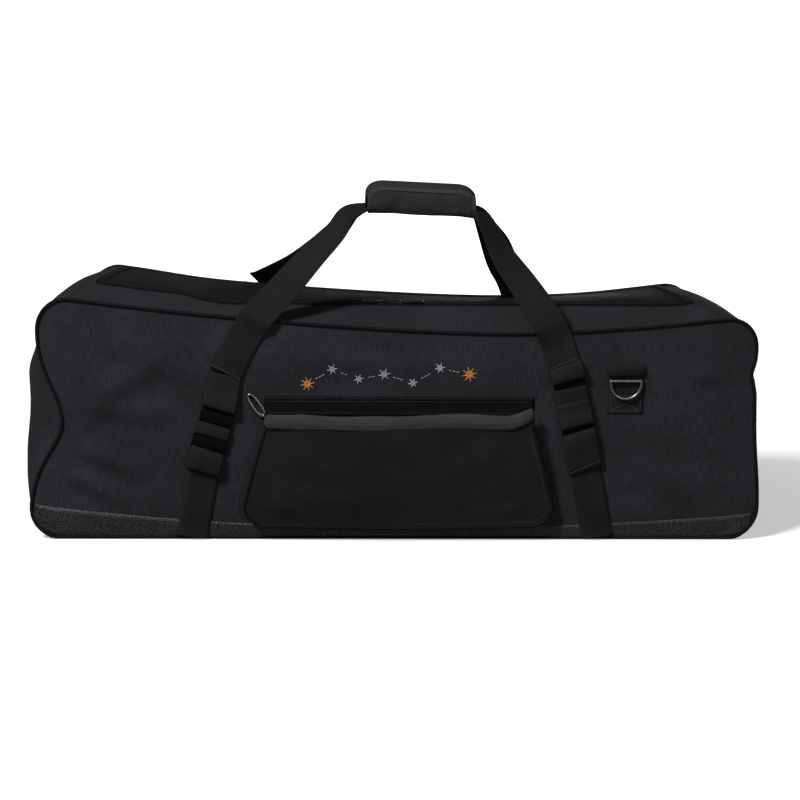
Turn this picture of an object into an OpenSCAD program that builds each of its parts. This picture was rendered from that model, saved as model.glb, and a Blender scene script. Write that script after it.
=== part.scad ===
// Long padded carry case with a zipped lid, a bellows pocket and wrapped webbing handles.
// +X runs along the case, -Y is the front, +Z is up. The origin is the centre of the rest face.

/* [Case] */
// Length of the case along X
case_l = 1000; // [920:10:1080]
// Depth of the case along Y
case_d = 250; // [240:5:270]
// Height of the case
case_h = 320; // [310:5:345]
// Radius of the rounded corners of the front and rear panels
corner_r = 45; // [35:1:50]
// Thickness of the cloth
cloth_t = 1.5; // [1:0.1:2]
// Thickness of the wall foam
foam_t = 8; // [5:0.5:9]
// Diameter of the piping
piping_d = 5; // [4:0.5:5]

/* [Lid] */
// Width of the fixed strip between the front seam and the zip
front_strip_w = 84; // [78:1:90]
// Clear band between the fixed strip and the lid's cloth, where the zip lies
zip_gap = 12; // [11:0.5:13]
// Diameter of a zip coil
coil_d = 2.4; // [2:0.1:2.6]

/* [Webbing] */
// Width of the carrying straps
webbing_w = 45; // [36:1:46]
// Thickness of the webbing
webbing_t = 2; // [1.5:0.1:2]
// Strap centre at the foot of a panel, from the middle
strap_foot_x = 284; // [270:1:300]
// Strap centre at the strap's bend, from the middle
strap_bend_x = 239; // [230:1:250]
// Strap centre at the top of the front panel, from the middle
strap_top_x = 210; // [200:1:220]
// How far the front handle is pulled towards +X
handle_shift = 12; // [0:1:16]

/* [Grip] */
// Length of the padded grip
grip_l = 160; // [140:1:170]
// Height of the padded grip
grip_h = 50; // [44:1:54]
// Depth of the padded grip, front to rear
grip_d = 50; // [46:1:54]
// Height of the grip's middle above the rest face
grip_z = 470; // [460:1:480]
// Y of the plane where the two handles meet
grip_y = -20; // [-24:1:-16]

/* [Pocket] */
// Width of the pocket at its foot
pocket_foot_w = 432; // [400:2:440]
// Width of the pocket at its mouth
pocket_mouth_w = 372; // [350:2:390]
// Depth of the pocket, front to rear
pocket_d = 27; // [24:1:30]
// Height of the pocket's rolled lip above the rest face
pocket_lip_z = 180; // [170:1:185]

/* [Rings] */
// Distance of each ring tab from the middle
ring_x = 322; // [312:1:336]
// Height of the ring's bar above the rest face
ring_z = 229; // [215:1:235]
// Diameter of the ring's wire
wire_d = 4.4; // [4:0.2:4.6]
// Inner width of the ring
ring_w = 38; // [34:1:38]

/* [Hidden] */
$fn = 48;
// Running clearance between bodies
gap = 0.3;
piping_r = piping_d / 2;
lining_t = 1;
board_t = 3;
guard_t = 1;

// Faces of the front and rear, from the middle
face_y = case_d / 2 - 1;
panel_in_y = face_y - cloth_t;
band_y = case_d / 2 - piping_d;
foam_in_y = panel_in_y - foam_t;
lining_y = foam_in_y - gap;
lining_z = cloth_t + board_t + foam_t + gap;
flat_x = case_l / 2 - corner_r;

// Zip opening in the top
open_front_y = -band_y + front_strip_w;
open_rear_y = band_y - 2;
open_x = flat_x - 10;
lid_front_y = open_front_y + zip_gap;
lid_x = open_x - zip_gap;
tape_w = 9;
tape_t = 1.2;
tape_z = case_h - cloth_t - tape_t;
coil_z = tape_z + tape_t + coil_d / 2 + 0.1;
coil_in = 4;
lid_coil_in = coil_in + coil_d + 0.8;
lid_foam_in = 14;
// The lid's foam stops short of its hinge
lid_hinge_margin = 16;
wall_top_z = case_h - 12;

// Hinge lines of the lid and the handles
hinge_y = case_d / 2 + 3;
hinge_z = case_h + 1;

// Straps
strap_bend_z = 235;
strap_foot_z = piping_d + 0.5;
strap_end_z = case_h - piping_d - 0.5;
rear_strap_top_x = 190;
// Each sewn fold on a front strap: its lowest and highest Z, and how far it stands off the strap
left_folds = [[98, 126, 7], [128, 164, 3], [186, 240, 5]];
right_folds = [[102, 158, 5], [170, 199, 7], [200, 226, 6], [233, 256, 4]];
guard_end_z = 42;
guard_mid_z = 20;

// Grip
grip_x = 24 + handle_shift;
grip_left = grip_x - grip_l / 2;
grip_right = grip_x + grip_l / 2;
grip_strap_h = 38;
// Where a handle's arm turns upright: out from the grip's end, off its plane, below its middle
neck_out = 26;
neck_y = 15;
neck_drop = 16;
pad_round = 8;
strip_t = 1;
strip_in = 5;
flap_t = 2;
flap_stack = 2 * strip_t + flap_t + gap;
flap_h = grip_h - 2 * pad_round;
pad_front_y = grip_y - gap - webbing_t;
pad_rear_y = grip_y + gap + webbing_t;
pad_front_d = grip_d / 2 - gap - webbing_t - flap_stack;
pad_rear_d = grip_d / 2 - gap - webbing_t;
hook_y = pad_front_y - pad_front_d;

// Pocket
pocket_x = 8;
pocket_foot_z = 12;
pocket_face_y = -face_y - pocket_d;
lip_h = 22;
lip_roll_r = 5;
lip_proud = 4;
// Clear way between the lip and the front panel
mouth_gap = 10;
pocket_panel_top = pocket_lip_z - lip_h;
pocket_coil_z = pocket_lip_z + 5;
pocket_tape_top = 205;

// Sliders
slider_l = 10;
pull_l = 26;
pull_w = 7;
pull_t = 1.4;
slider_x = 14;
slider_roof = 1.8;
slider_top = coil_z + coil_d / 2 + slider_roof;
pocket_slider_x = pocket_x - pocket_mouth_w / 2 + 8;
pocket_pull_l = 40;
pocket_pull_w = 13;
pocket_pull_wire = 2.6;
// Angle at which the pocket's pull points up and sideways, and leans on the case
pocket_pull_tilt = -36;
pocket_pull_lean = 4;

// Rings
ring_bar_y = -face_y - 6.5;
ring_leg = 4;
tab_w = 50;
tab_above = 19;
tab_below = 47;

cloth_colour = [0.12, 0.12, 0.15];
webbing_colour = [0.1, 0.1, 0.1];
vinyl_colour = [0.16, 0.16, 0.17];
grip_colour = [0.17, 0.17, 0.18];
foam_colour = [0.75, 0.75, 0.72];
lining_colour = [0.3, 0.3, 0.33];
metal_colour = [0.75, 0.75, 0.77];

// Rounded outline of the case seen from the front, pulled in by a margin
module outline(margin) {
    r = corner_r - margin;
    w = case_l / 2 - corner_r;
    translate([0, case_h / 2])
        union() {
            square([case_l - 2 * margin, case_h - 2 * corner_r], center = true);
            square([2 * w, case_h - 2 * margin], center = true);
            for (x = [-w, w], z = [-1, 1])
                translate([x, z * (case_h / 2 - corner_r)]) circle(r, $fn = 96);
        }
}

// A front view shape between two Y planes
module slab(y0, y1) {
    translate([0, y1, 0]) rotate([90, 0, 0]) linear_extrude(y1 - y0) children();
}

module half_plane(side) {
    translate([side > 0 ? flat_x : -case_l, -1]) square([case_l - flat_x, case_h + 2]);
}

module mirrored_to_rear() {
    mirror([0, 1, 0]) children();
}

// ---- Shell of the case ----

module front_panel() {
    color(cloth_colour) slab(-face_y, -panel_in_y) outline(piping_d);
}

module rear_panel() {
    color(cloth_colour) slab(panel_in_y, face_y) outline(piping_d);
}

module end_panel(side) {
    color(cloth_colour)
        slab(-band_y, band_y)
            intersection() {
                difference() {
                    outline(0);
                    outline(cloth_t);
                }
                half_plane(side);
            }
}

module left_end_panel() {
    end_panel(-1);
}

module right_end_panel() {
    end_panel(1);
}

module base_panel() {
    color(vinyl_colour) translate([-flat_x, -band_y, 0]) cube([2 * flat_x, 2 * band_y, cloth_t]);
}

module base_board() {
    color("dimgray")
        translate([-flat_x, -foam_in_y, cloth_t]) cube([2 * flat_x, 2 * foam_in_y, board_t]);
}

module top_front_strip() {
    color(cloth_colour)
        translate([-flat_x, -band_y, case_h - cloth_t]) cube([2 * flat_x, front_strip_w, cloth_t]);
}

module top_end_strips() {
    color(cloth_colour)
        for (x = [-flat_x, open_x])
            translate([x, open_front_y, case_h - cloth_t])
                cube([flat_x - open_x, open_rear_y - open_front_y, cloth_t]);
}

// Strap seen from the front: foot, bend and top centres
module strap_outline(foot_x, bend_x, top_x) {
    h = webbing_w / 2;
    polygon([[foot_x - h, strap_foot_z], [foot_x + h, strap_foot_z], [bend_x + h, strap_bend_z],
        [top_x + h, strap_end_z], [top_x - h, strap_end_z], [bend_x - h, strap_bend_z]]);
}

module front_strap_shape(side) {
    strap_outline(side * strap_foot_x, side * strap_bend_x + handle_shift / 3,
        side * strap_top_x + handle_shift);
}

module rear_strap_shape(side) {
    strap_outline(side * strap_foot_x, side * strap_bend_x, side * rear_strap_top_x);
}

// Guard strip along the foot, deeper towards both ends
module guard_outline() {
    intersection() {
        outline(piping_d);
        polygon([[-case_l / 2, 0], [case_l / 2, 0], [case_l / 2, guard_end_z], [case_l / 4, guard_mid_z],
            [-case_l / 4, guard_mid_z], [-case_l / 2, guard_end_z]]);
    }
}

module front_vinyl_guard() {
    color(vinyl_colour)
        slab(-face_y - guard_t, -face_y)
            difference() {
                guard_outline();
                for (side = [-1, 1]) front_strap_shape(side);
                pocket_outline(3);
            }
}

module rear_vinyl_guard() {
    color(vinyl_colour)
        slab(face_y, face_y + guard_t)
            difference() {
                guard_outline();
                for (side = [-1, 1]) rear_strap_shape(side);
            }
}

// Piping on the seam round a face, with its outer side flush with the case
module piping_ring() {
    in = corner_r - piping_r;
    w = case_l / 2 - corner_r;
    h = case_h / 2 - corner_r;
    translate([0, -case_d / 2 + piping_r, case_h / 2])
        union() {
            for (z = [-h - in, h + in])
                translate([-w, 0, z]) rotate([0, 90, 0]) cylinder(r = piping_r, h = 2 * w);
            for (x = [-w - in, w + in])
                translate([x, 0, -h]) cylinder(r = piping_r, h = 2 * h);
            for (i = [0 : 3])
                translate([(i == 0 || i == 3 ? 1 : -1) * w, 0, (i < 2 ? 1 : -1) * h])
                    rotate([90, 0, 0]) rotate([0, 0, i * 90])
                        rotate_extrude(angle = 90) translate([in, 0]) circle(piping_r);
        }
}

module front_piping() {
    color(webbing_colour) piping_ring();
}

module rear_piping() {
    color(webbing_colour) mirrored_to_rear() piping_ring();
}

module face_foam() {
    margin = lining_z + 1;
    color(foam_colour)
        slab(-panel_in_y, -foam_in_y)
            intersection() {
                outline(margin);
                translate([-case_l / 2, 0]) square([case_l, wall_top_z]);
            }
}

module front_foam() {
    face_foam();
}

module rear_foam() {
    mirrored_to_rear() face_foam();
}

module end_foam(side) {
    x = case_l / 2 - cloth_t - foam_t - 0.5;
    color(foam_colour)
        translate([side > 0 ? x : -x - foam_t, -foam_in_y, corner_r])
            cube([foam_t, 2 * foam_in_y, case_h - 2 * corner_r]);
}

module left_end_foam() {
    end_foam(-1);
}

module right_end_foam() {
    end_foam(1);
}

module base_foam() {
    color(foam_colour)
        translate([-flat_x, -foam_in_y, cloth_t + board_t]) cube([2 * flat_x, 2 * foam_in_y, foam_t]);
}

module case_lining() {
    color(lining_colour)
        difference() {
            slab(-lining_y, lining_y) outline(lining_z);
            slab(-lining_y + lining_t, lining_y - lining_t) outline(lining_z + lining_t);
            translate([-case_l / 2, -case_d / 2, wall_top_z]) cube([case_l, case_d, case_h]);
        }
}

// ---- Main zip ----

// U of straight strips along the front and both ends of the zip opening
module zip_run(inset, width, z, height) {
    x = open_x - inset;
    y = open_front_y + inset;
    for (side = [-1, 1])
        translate([side > 0 ? x - width : -x, y, z]) cube([width, open_rear_y - 6 - y, height]);
    translate([-x, y, z]) cube([2 * x, width, height]);
}

module coil_run(inset) {
    x = open_x - inset;
    y = open_front_y + inset;
    translate([-x, y, coil_z]) rotate([0, 90, 0]) cylinder(d = coil_d, h = 2 * x);
    for (side = [-1, 1])
        translate([side * x, y, coil_z]) {
            sphere(d = coil_d);
            rotate([-90, 0, 0]) cylinder(d = coil_d, h = open_rear_y - 6 - y);
        }
}

module zip_tape_case() {
    color(webbing_colour) zip_run(coil_in + coil_d / 2 - tape_w, tape_w, tape_z, tape_t);
}

module zip_coil_case() {
    color("black") coil_run(coil_in);
}

module zip_tape_lid() {
    color(webbing_colour) zip_run(lid_coil_in - coil_d / 2, tape_w, tape_z, tape_t);
}

module zip_coil_lid() {
    color("black") coil_run(lid_coil_in);
}

// ---- Lid ----

module lid_plate(inset, z, height, rear_margin) {
    x = lid_x - inset;
    y = lid_front_y + inset;
    translate([-x, y, z]) cube([2 * x, open_rear_y - rear_margin - y, height]);
}

module lid_panel() {
    color(cloth_colour) lid_plate(0, case_h - cloth_t, cloth_t, 0);
}

module lid_foam() {
    color(foam_colour)
        lid_plate(lid_foam_in, case_h - cloth_t - foam_t, foam_t, lid_hinge_margin);
}

module lid_lining() {
    color(lining_colour)
        lid_plate(lid_foam_in, case_h - cloth_t - foam_t - lining_t, lining_t, lid_hinge_margin);
}

// ---- Carrying straps and handles ----

module front_strap_left() {
    color(webbing_colour) slab(-face_y - webbing_t, -face_y) front_strap_shape(-1);
}

module front_strap_right() {
    color(webbing_colour) slab(-face_y - webbing_t, -face_y) front_strap_shape(1);
}

module rear_strap_left() {
    color(webbing_colour) slab(face_y, face_y + webbing_t) rear_strap_shape(-1);
}

module rear_strap_right() {
    color(webbing_colour) slab(face_y, face_y + webbing_t) rear_strap_shape(1);
}

// One folded and sewn loop of webbing lying on a front strap
module sewn_fold(side, z0, z1, proud) {
    slab(-face_y - webbing_t - proud, -face_y - webbing_t)
        intersection() {
            front_strap_shape(side);
            translate([-case_l / 2, z0]) square([case_l, z1 - z0]);
        }
}

module strap_loops(side, folds) {
    color(webbing_colour)
        for (f = folds) sewn_fold(side, f[0], f[1], f[2]);
}

module strap_loops_left() {
    strap_loops(-1, left_folds);
}

module strap_loops_right() {
    strap_loops(1, right_folds);
}

function unit(v) = v / norm(v);
// Direction across a flat strap that leaves a hinge line along X in direction d
function across(d) = unit([1, 0, 0] - unit(d)[0] * unit(d));

module strip(corners) {
    hull() for (p = corners) translate(p) cube(webbing_t, center = true);
}

// One arm of a handle: flat from its hinge line to the neck, then turned upright into the grip
module handle_arm(root, neck, tip) {
    half = [webbing_w / 2 - webbing_t / 2, 0, 0];
    turned = across(neck - root) * grip_strap_h / 2;
    upright = [0, 0, grip_strap_h / 2 - webbing_t / 2];
    strip([root - half, root + half, neck - turned, neck + turned]);
    strip([neck - turned, neck + turned, tip - upright, tip + upright]);
}

// side is -1 for the front handle and 1 for the rear one
module handle_webbing(side, left_root, right_root) {
    strap_y = grip_y + side * (gap + webbing_t / 2);
    root_y = side * hinge_y;
    neck = [0, strap_y + side * neck_y, grip_z - neck_drop];
    tip = [0, strap_y, grip_z];
    for (end = [[left_root, grip_left, -1], [right_root, grip_right, 1]])
        handle_arm([end[0], root_y, hinge_z], neck + [end[1] + end[2] * neck_out, 0, 0],
            tip + [end[1] + end[2] * webbing_t, 0, 0]);
    translate([grip_left - webbing_t, strap_y - webbing_t / 2, grip_z - grip_strap_h / 2])
        cube([grip_l + 2 * webbing_t, webbing_t, grip_strap_h]);
}

module front_handle_webbing() {
    color(webbing_colour)
        handle_webbing(-1, handle_shift - strap_top_x, handle_shift + strap_top_x);
}

module rear_handle_webbing() {
    color(webbing_colour) handle_webbing(1, -rear_strap_top_x, rear_strap_top_x);
}

// Half of the grip's padding, round on its outer side, flat where it meets the webbing
module half_pad(depth) {
    translate([grip_left, 0, grip_z])
        rotate([90, 0, 90])
            linear_extrude(grip_l)
                union() {
                    translate([-(depth - pad_round), -grip_h / 2]) square([depth - pad_round, grip_h]);
                    translate([-depth, -grip_h / 2 + pad_round]) square([depth, grip_h - 2 * pad_round]);
                    for (z = [-1, 1])
                        translate([-(depth - pad_round), z * (grip_h / 2 - pad_round)]) circle(pad_round);
                }
}

module front_wrap_pad() {
    color(grip_colour) translate([0, pad_front_y, 0]) half_pad(pad_front_d);
}

module rear_wrap_pad() {
    color(grip_colour) translate([0, pad_rear_y, 0]) mirrored_to_rear() half_pad(pad_rear_d);
}

module hook_strip() {
    color("black")
        translate([grip_left + strip_in, hook_y - strip_t, grip_z - flap_h / 2 + strip_in])
            cube([grip_l - 2 * strip_in, strip_t, flap_h - 2 * strip_in]);
}

module loop_strip() {
    color("black")
        translate([grip_left + strip_in, hook_y - 2 * strip_t - gap, grip_z - flap_h / 2 + strip_in])
            cube([grip_l - 2 * strip_in, strip_t, flap_h - 2 * strip_in]);
}

// The grip's closing flap, hinged along its lower edge
module wrap_flap() {
    color(grip_colour)
        translate([grip_left, hook_y - flap_stack, grip_z - flap_h / 2])
            cube([grip_l, flap_t, flap_h]);
}

// ---- Main sliders ----

// Slider on the case side coil, so that the lid's coil can lift away from it
module zip_slider(x) {
    y = open_front_y + coil_in;
    inner = (lid_coil_in - coil_in) - coil_d / 2 - 0.2;
    color(metal_colour)
        translate([x, y, 0])
            difference() {
                translate([-slider_l / 2, -4, coil_z - coil_d / 2 + 0.1])
                    cube([slider_l, 4 + inner, coil_d + slider_roof - 0.1]);
                translate([-slider_l, 0, coil_z]) rotate([0, 90, 0])
                    cylinder(d = coil_d + 0.4, h = 2 * slider_l);
                translate([-slider_l, -coil_d / 2 - 0.2, 0])
                    cube([2 * slider_l, coil_d + 0.4, coil_z]);
            }
}

module zip_pull(x, side) {
    y = open_front_y + coil_in - 2.5;
    color(metal_colour)
        translate([x, y, slider_top + gap])
            difference() {
                union() {
                    translate([side > 0 ? 0 : -pull_l, -pull_w / 2 + 1, 0])
                        cube([pull_l, pull_w - 2, pull_t]);
                    translate([side * pull_l, 0, 0]) cylinder(d = pull_w, h = pull_t);
                }
                translate([side * pull_l, 0, -1]) cylinder(d = 3, h = 4);
            }
}

module left_slider() {
    zip_slider(-slider_x);
}

module right_slider() {
    zip_slider(slider_x);
}

module left_pull() {
    zip_pull(-slider_x, -1);
}

module right_pull() {
    zip_pull(slider_x, 1);
}

// ---- Front pocket ----

// Pocket seen from the front, wider at its foot
module pocket_outline(margin) {
    foot = pocket_foot_w / 2 + margin;
    mouth = pocket_mouth_w / 2 + margin;
    polygon([[pocket_x - foot, pocket_foot_z - margin], [pocket_x + foot, pocket_foot_z - margin],
        [pocket_x + mouth, pocket_lip_z], [pocket_x - mouth, pocket_lip_z]]);
}

module pocket_side_band(side, z_top) {
    x0 = side > 0 ? pocket_x + pocket_mouth_w / 4 : pocket_x - pocket_foot_w;
    intersection() {
        difference() {
            pocket_outline(0);
            pocket_outline(-cloth_t);
        }
        translate([x0, pocket_foot_z + cloth_t])
            square([pocket_foot_w, z_top - pocket_foot_z - cloth_t]);
    }
}

module pocket_gusset_left() {
    color(cloth_colour)
        slab(pocket_face_y + gap, -face_y - guard_t)
            pocket_side_band(-1, pocket_panel_top);
}

module pocket_gusset_right() {
    color(cloth_colour)
        slab(pocket_face_y + gap, -face_y - guard_t)
            pocket_side_band(1, pocket_panel_top);
}

module pocket_gusset_bottom() {
    color(cloth_colour)
        slab(pocket_face_y + gap, -face_y)
            intersection() {
                pocket_outline(0);
                translate([-case_l / 2, 0]) square([case_l, pocket_foot_z + cloth_t]);
            }
}

module pocket_zip_tape() {
    color(webbing_colour)
        translate([pocket_x - pocket_mouth_w / 2, -face_y - tape_t, pocket_coil_z - 2])
            cube([pocket_mouth_w, tape_t, pocket_tape_top - pocket_coil_z + 2]);
}

module pocket_zip_coil() {
    color("black")
        translate([pocket_x - pocket_mouth_w / 2, -face_y - tape_t - coil_d / 2, pocket_coil_z])
            rotate([0, 90, 0]) cylinder(d = coil_d, h = pocket_mouth_w);
}

module pocket_panel() {
    color(cloth_colour)
        slab(pocket_face_y - cloth_t, pocket_face_y)
            intersection() {
                pocket_outline(0);
                translate([-case_l / 2, 0]) square([case_l, pocket_panel_top]);
            }
}

// Rolled lip that carries the pocket's lower zip tape back towards the panel
module pocket_lip() {
    y0 = pocket_face_y - cloth_t - lip_proud;
    y1 = -face_y - mouth_gap;
    x0 = pocket_x - pocket_mouth_w / 2;
    color(webbing_colour)
        translate([x0, 0, pocket_panel_top])
            rotate([90, 0, 90])
                linear_extrude(pocket_mouth_w)
                    union() {
                        translate([y0, lip_roll_r]) square([2 * lip_roll_r, lip_h - 2 * lip_roll_r]);
                        translate([y0 + lip_roll_r, lip_roll_r]) circle(lip_roll_r);
                        translate([y0 + lip_roll_r, lip_h - lip_roll_r]) circle(lip_roll_r);
                        translate([y0 + lip_roll_r, lip_h - cloth_t])
                            square([y1 - y0 - lip_roll_r, cloth_t]);
                    }
}

module pocket_piping() {
    color(webbing_colour)
        slab(pocket_face_y - lip_proud, pocket_face_y)
            intersection() {
                difference() {
                    pocket_outline(lip_proud);
                    pocket_outline(0);
                }
                translate([-case_l / 2, 0]) square([case_l, pocket_panel_top]);
            }
}

module pocket_slider() {
    y = -face_y - tape_t - coil_d / 2;
    color(metal_colour)
        translate([pocket_slider_x, y, pocket_coil_z])
            difference() {
                translate([-slider_l / 2, -coil_d / 2 - 2, -coil_d / 2 - 1])
                    cube([slider_l, coil_d + 1.9, coil_d + 3]);
                rotate([0, 90, 0]) cylinder(d = coil_d + 0.4, h = 2 * slider_l, center = true);
                translate([-slider_l, 0, -coil_d / 2 - 0.2]) cube([2 * slider_l, 10, coil_d + 0.4]);
            }
}

// Long oval ring on the slider's bridge
module pocket_pull() {
    y = -face_y - tape_t - coil_d - 4.2;
    r = pocket_pull_w / 2;
    color(metal_colour)
        translate([pocket_slider_x, y, pocket_coil_z])
            rotate([0, pocket_pull_tilt, 0]) rotate([-pocket_pull_lean, 0, 0]) rotate([90, 0, 0])
                translate([0, r - pocket_pull_wire / 2, -1])
                    linear_extrude(2)
                        difference() {
                            pull_outline(r);
                            pull_outline(r - pocket_pull_wire);
                        }
}

module pull_outline(r) {
    far = pocket_pull_l - pocket_pull_w;
    circle(r);
    translate([0, far]) circle(r);
    translate([-r, 0]) square([2 * r, far]);
}

// ---- Rings and their tabs ----

module ring_tab() {
    inner = ring_w - 2;
    fold_y = ring_bar_y - wire_d / 2 - 1.4;
    fold_h = 8.5;
    difference() {
        union() {
            translate([-tab_w / 2, -face_y - cloth_t, ring_z - tab_below])
                cube([tab_w, cloth_t, tab_below + tab_above]);
            translate([-inner / 2, -face_y - 2 * webbing_t, ring_z])
                cube([inner, 2 * webbing_t, tab_above]);
            translate([-inner / 2, fold_y, ring_z - fold_h / 2]) cube([inner, -face_y - fold_y, fold_h]);
        }
        translate([-ring_w, ring_bar_y, ring_z]) rotate([0, 90, 0])
            cylinder(d = wire_d + 0.6, h = 2 * ring_w);
    }
}

module d_ring() {
    r = ring_w / 2 + wire_d / 2;
    translate([0, ring_bar_y, ring_z]) {
        translate([-r, 0, 0]) rotate([0, 90, 0]) cylinder(d = wire_d, h = 2 * r);
        for (side = [-1, 1])
            translate([side * r, 0, 0]) {
                sphere(d = wire_d);
                translate([0, 0, -ring_leg]) cylinder(d = wire_d, h = ring_leg);
            }
        translate([0, 0, -ring_leg])
            rotate([90, 180, 0]) rotate_extrude(angle = 180) translate([r, 0]) circle(d = wire_d);
    }
}

module front_ring_tab() {
    color(webbing_colour) translate([ring_x, 0, 0]) ring_tab();
}

module rear_ring_tab() {
    color(webbing_colour) mirrored_to_rear() translate([-ring_x, 0, 0]) ring_tab();
}

module front_d_ring() {
    color(metal_colour) translate([ring_x, 0, 0]) d_ring();
}

module rear_d_ring() {
    color(metal_colour) mirrored_to_rear() translate([-ring_x, 0, 0]) d_ring();
}

// ---- Drawing ----
front_panel();
rear_panel();
left_end_panel();
right_end_panel();
base_panel();
base_board();
top_front_strip();
top_end_strips();
front_vinyl_guard();
rear_vinyl_guard();
front_piping();
rear_piping();
front_foam();
rear_foam();
left_end_foam();
right_end_foam();
base_foam();
case_lining();
zip_tape_case();
zip_coil_case();
front_strap_left();
front_strap_right();
rear_strap_left();
rear_strap_right();
strap_loops_left();
strap_loops_right();
front_ring_tab();
rear_ring_tab();
pocket_zip_tape();
pocket_zip_coil();
pocket_gusset_left();
pocket_gusset_right();
pocket_gusset_bottom();
lid_panel();
lid_foam();
lid_lining();
zip_tape_lid();
zip_coil_lid();
front_handle_webbing();
front_wrap_pad();
hook_strip();
wrap_flap();
loop_strip();
rear_handle_webbing();
rear_wrap_pad();
left_slider();
left_pull();
right_slider();
right_pull();
pocket_panel();
pocket_lip();
pocket_piping();
pocket_slider();
pocket_pull();
front_d_ring();
rear_d_ring();
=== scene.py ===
import math

import bpy
import numpy as np
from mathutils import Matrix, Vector, noise


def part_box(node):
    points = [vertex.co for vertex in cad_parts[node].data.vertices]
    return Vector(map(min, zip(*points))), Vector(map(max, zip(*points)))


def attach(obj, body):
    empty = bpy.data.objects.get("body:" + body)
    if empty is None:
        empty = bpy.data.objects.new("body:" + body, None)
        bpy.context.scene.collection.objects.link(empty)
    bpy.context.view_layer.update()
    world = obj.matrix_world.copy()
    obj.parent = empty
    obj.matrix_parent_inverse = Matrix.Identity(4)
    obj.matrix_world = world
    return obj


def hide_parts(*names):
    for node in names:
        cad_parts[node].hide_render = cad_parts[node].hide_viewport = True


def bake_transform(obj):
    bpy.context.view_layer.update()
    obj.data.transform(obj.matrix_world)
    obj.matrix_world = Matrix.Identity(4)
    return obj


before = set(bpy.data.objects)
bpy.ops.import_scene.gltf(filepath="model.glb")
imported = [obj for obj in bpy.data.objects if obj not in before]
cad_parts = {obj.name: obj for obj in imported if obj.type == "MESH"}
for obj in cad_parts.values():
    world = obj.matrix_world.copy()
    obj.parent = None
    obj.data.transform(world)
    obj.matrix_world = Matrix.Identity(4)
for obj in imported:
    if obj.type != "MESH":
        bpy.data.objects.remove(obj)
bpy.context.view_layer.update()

# ---- Driving sizes, in metres, from the frame ----
FRONT, REAR = -1, 1
CASE_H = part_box("rear_piping")[1][2]
SEAM_Y = -np.mean([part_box("front_piping")[0][1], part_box("front_piping")[1][1]])
CORNER_R = 0.045
BASE_FLAT_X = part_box("base_panel")[1][0]
ZIP_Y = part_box("zip_coil_case")[0][1] + 0.0015
ZIP_Z = CASE_H - 0.0015
# Height of the top edges where they sag most, and of the left end's waist
LOW_TOP_FRONT, LOW_TOP_REAR = 0.293, 0.303
WAIST_Z = 0.155
WALL_T = 0.0085
BASE_T = 0.0122
# Gap between cloths that lie on each other, and thickness of a panel at its sewn edge
GAP = 0.0004
EDGE_T = 0.0012
PIPING_R, POCKET_PIPING_R = 0.0025, 0.0021
# Height at which the straps are sewn in at the foot
STRAP_FOOT = 0.0022
WEB_W, WEB_T = 0.045, 0.0019
# Webbing folded on itself
FOLD_T = 0.0021
# Length, gap, radius and material slot of each kind of stitch
SEAM_STITCH = (0.0028, 0.0014, 0.0004, 1)
ZIP_STITCH = (0.0028, 0.0013, 0.0004, 1)
TAB_STITCH = (0.0024, 0.0012, 0.0004, 1)
FOLD_STITCH = (0.0026, 0.0014, 0.00045, 1)
GUARD_STITCH = (0.003, 0.0018, 0.00042, 1)
STAR_STITCH = (0.0042, 0.001, 0.0007, 0)
# How far the folded webbing, and the dark strips of painted shade in the gaps between its folds, stand off the
# face, on top of the strap
STRAP_TOP = 0.0028
RING_X = 0.3225


def clamp(v, low=0.0, high=1.0):
    return np.minimum(np.maximum(v, low), high)


def smooth(v):
    v = clamp(v)
    return v * v * (3 - 2 * v)


def bump(v, centre, width):
    """A smooth hump, 1 at its centre."""
    return np.exp(-(((v - centre) / width) ** 2))


def mix(a, b, t):
    return a + (b - a) * t


def round_angles(count):
    """Even angles once round, in radians."""
    return np.linspace(0, 2 * math.pi, count, endpoint=False)


def squarish(v, power):
    """A sine or cosine pushed towards -1 and 1, for rounded corners."""
    return np.sign(v) * np.abs(v) ** power


def unit(v):
    return v / np.linalg.norm(v, axis=-1)[..., None]


def together(*parts):
    """Arrays stretched to one shape and joined as the coordinates of points."""
    return np.stack(np.broadcast_arrays(*parts), -1)


def run_length(path):
    """How far along a path each of its points is."""
    return np.concatenate([[0], np.cumsum(np.linalg.norm(np.diff(path, axis=0), axis=1))])


def values_at(lengths, along, rows):
    """Rows of values, one for each point of a path, read at some distances along it."""
    return np.stack([np.interp(lengths, along, rows[:, k]) for k in range(rows.shape[1])], -1)


def resample(path, count):
    """The same line with even steps."""
    along = run_length(path)
    return values_at(np.linspace(0, along[-1], count), along, path)


# ---- The case's soft shape: how far it sags, waists and bulges from its CAD box ----
# Soft creases: from x, z to x, z, width and height
FRONT_FOLDS = (
    (-0.47, 0.15, -0.33, 0.085, 0.012, 0.005),
    (-0.485, 0.115, -0.36, 0.045, 0.011, 0.004),
    (-0.46, 0.17, -0.3, 0.27, 0.018, 0.0045),
    (-0.45, 0.185, -0.28, 0.18, 0.014, 0.0035),
    (0.4, 0.238, 0.5, 0.232, 0.01, 0.0035),
    (-0.4, 0.3, -0.27, 0.215, 0.016, 0.003),
    (0.28, 0.275, 0.42, 0.17, 0.02, 0.003),
    (0.31, 0.12, 0.46, 0.06, 0.02, 0.003),
    (-0.16, 0.262, 0.14, 0.245, 0.02, 0.003),
)
REAR_FOLDS = (
    (-0.45, 0.23, -0.25, 0.15, 0.02, 0.005),
    (0.25, 0.12, 0.46, 0.2, 0.02, 0.005),
    (-0.15, 0.2, 0.12, 0.17, 0.03, 0.004),
)
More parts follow.
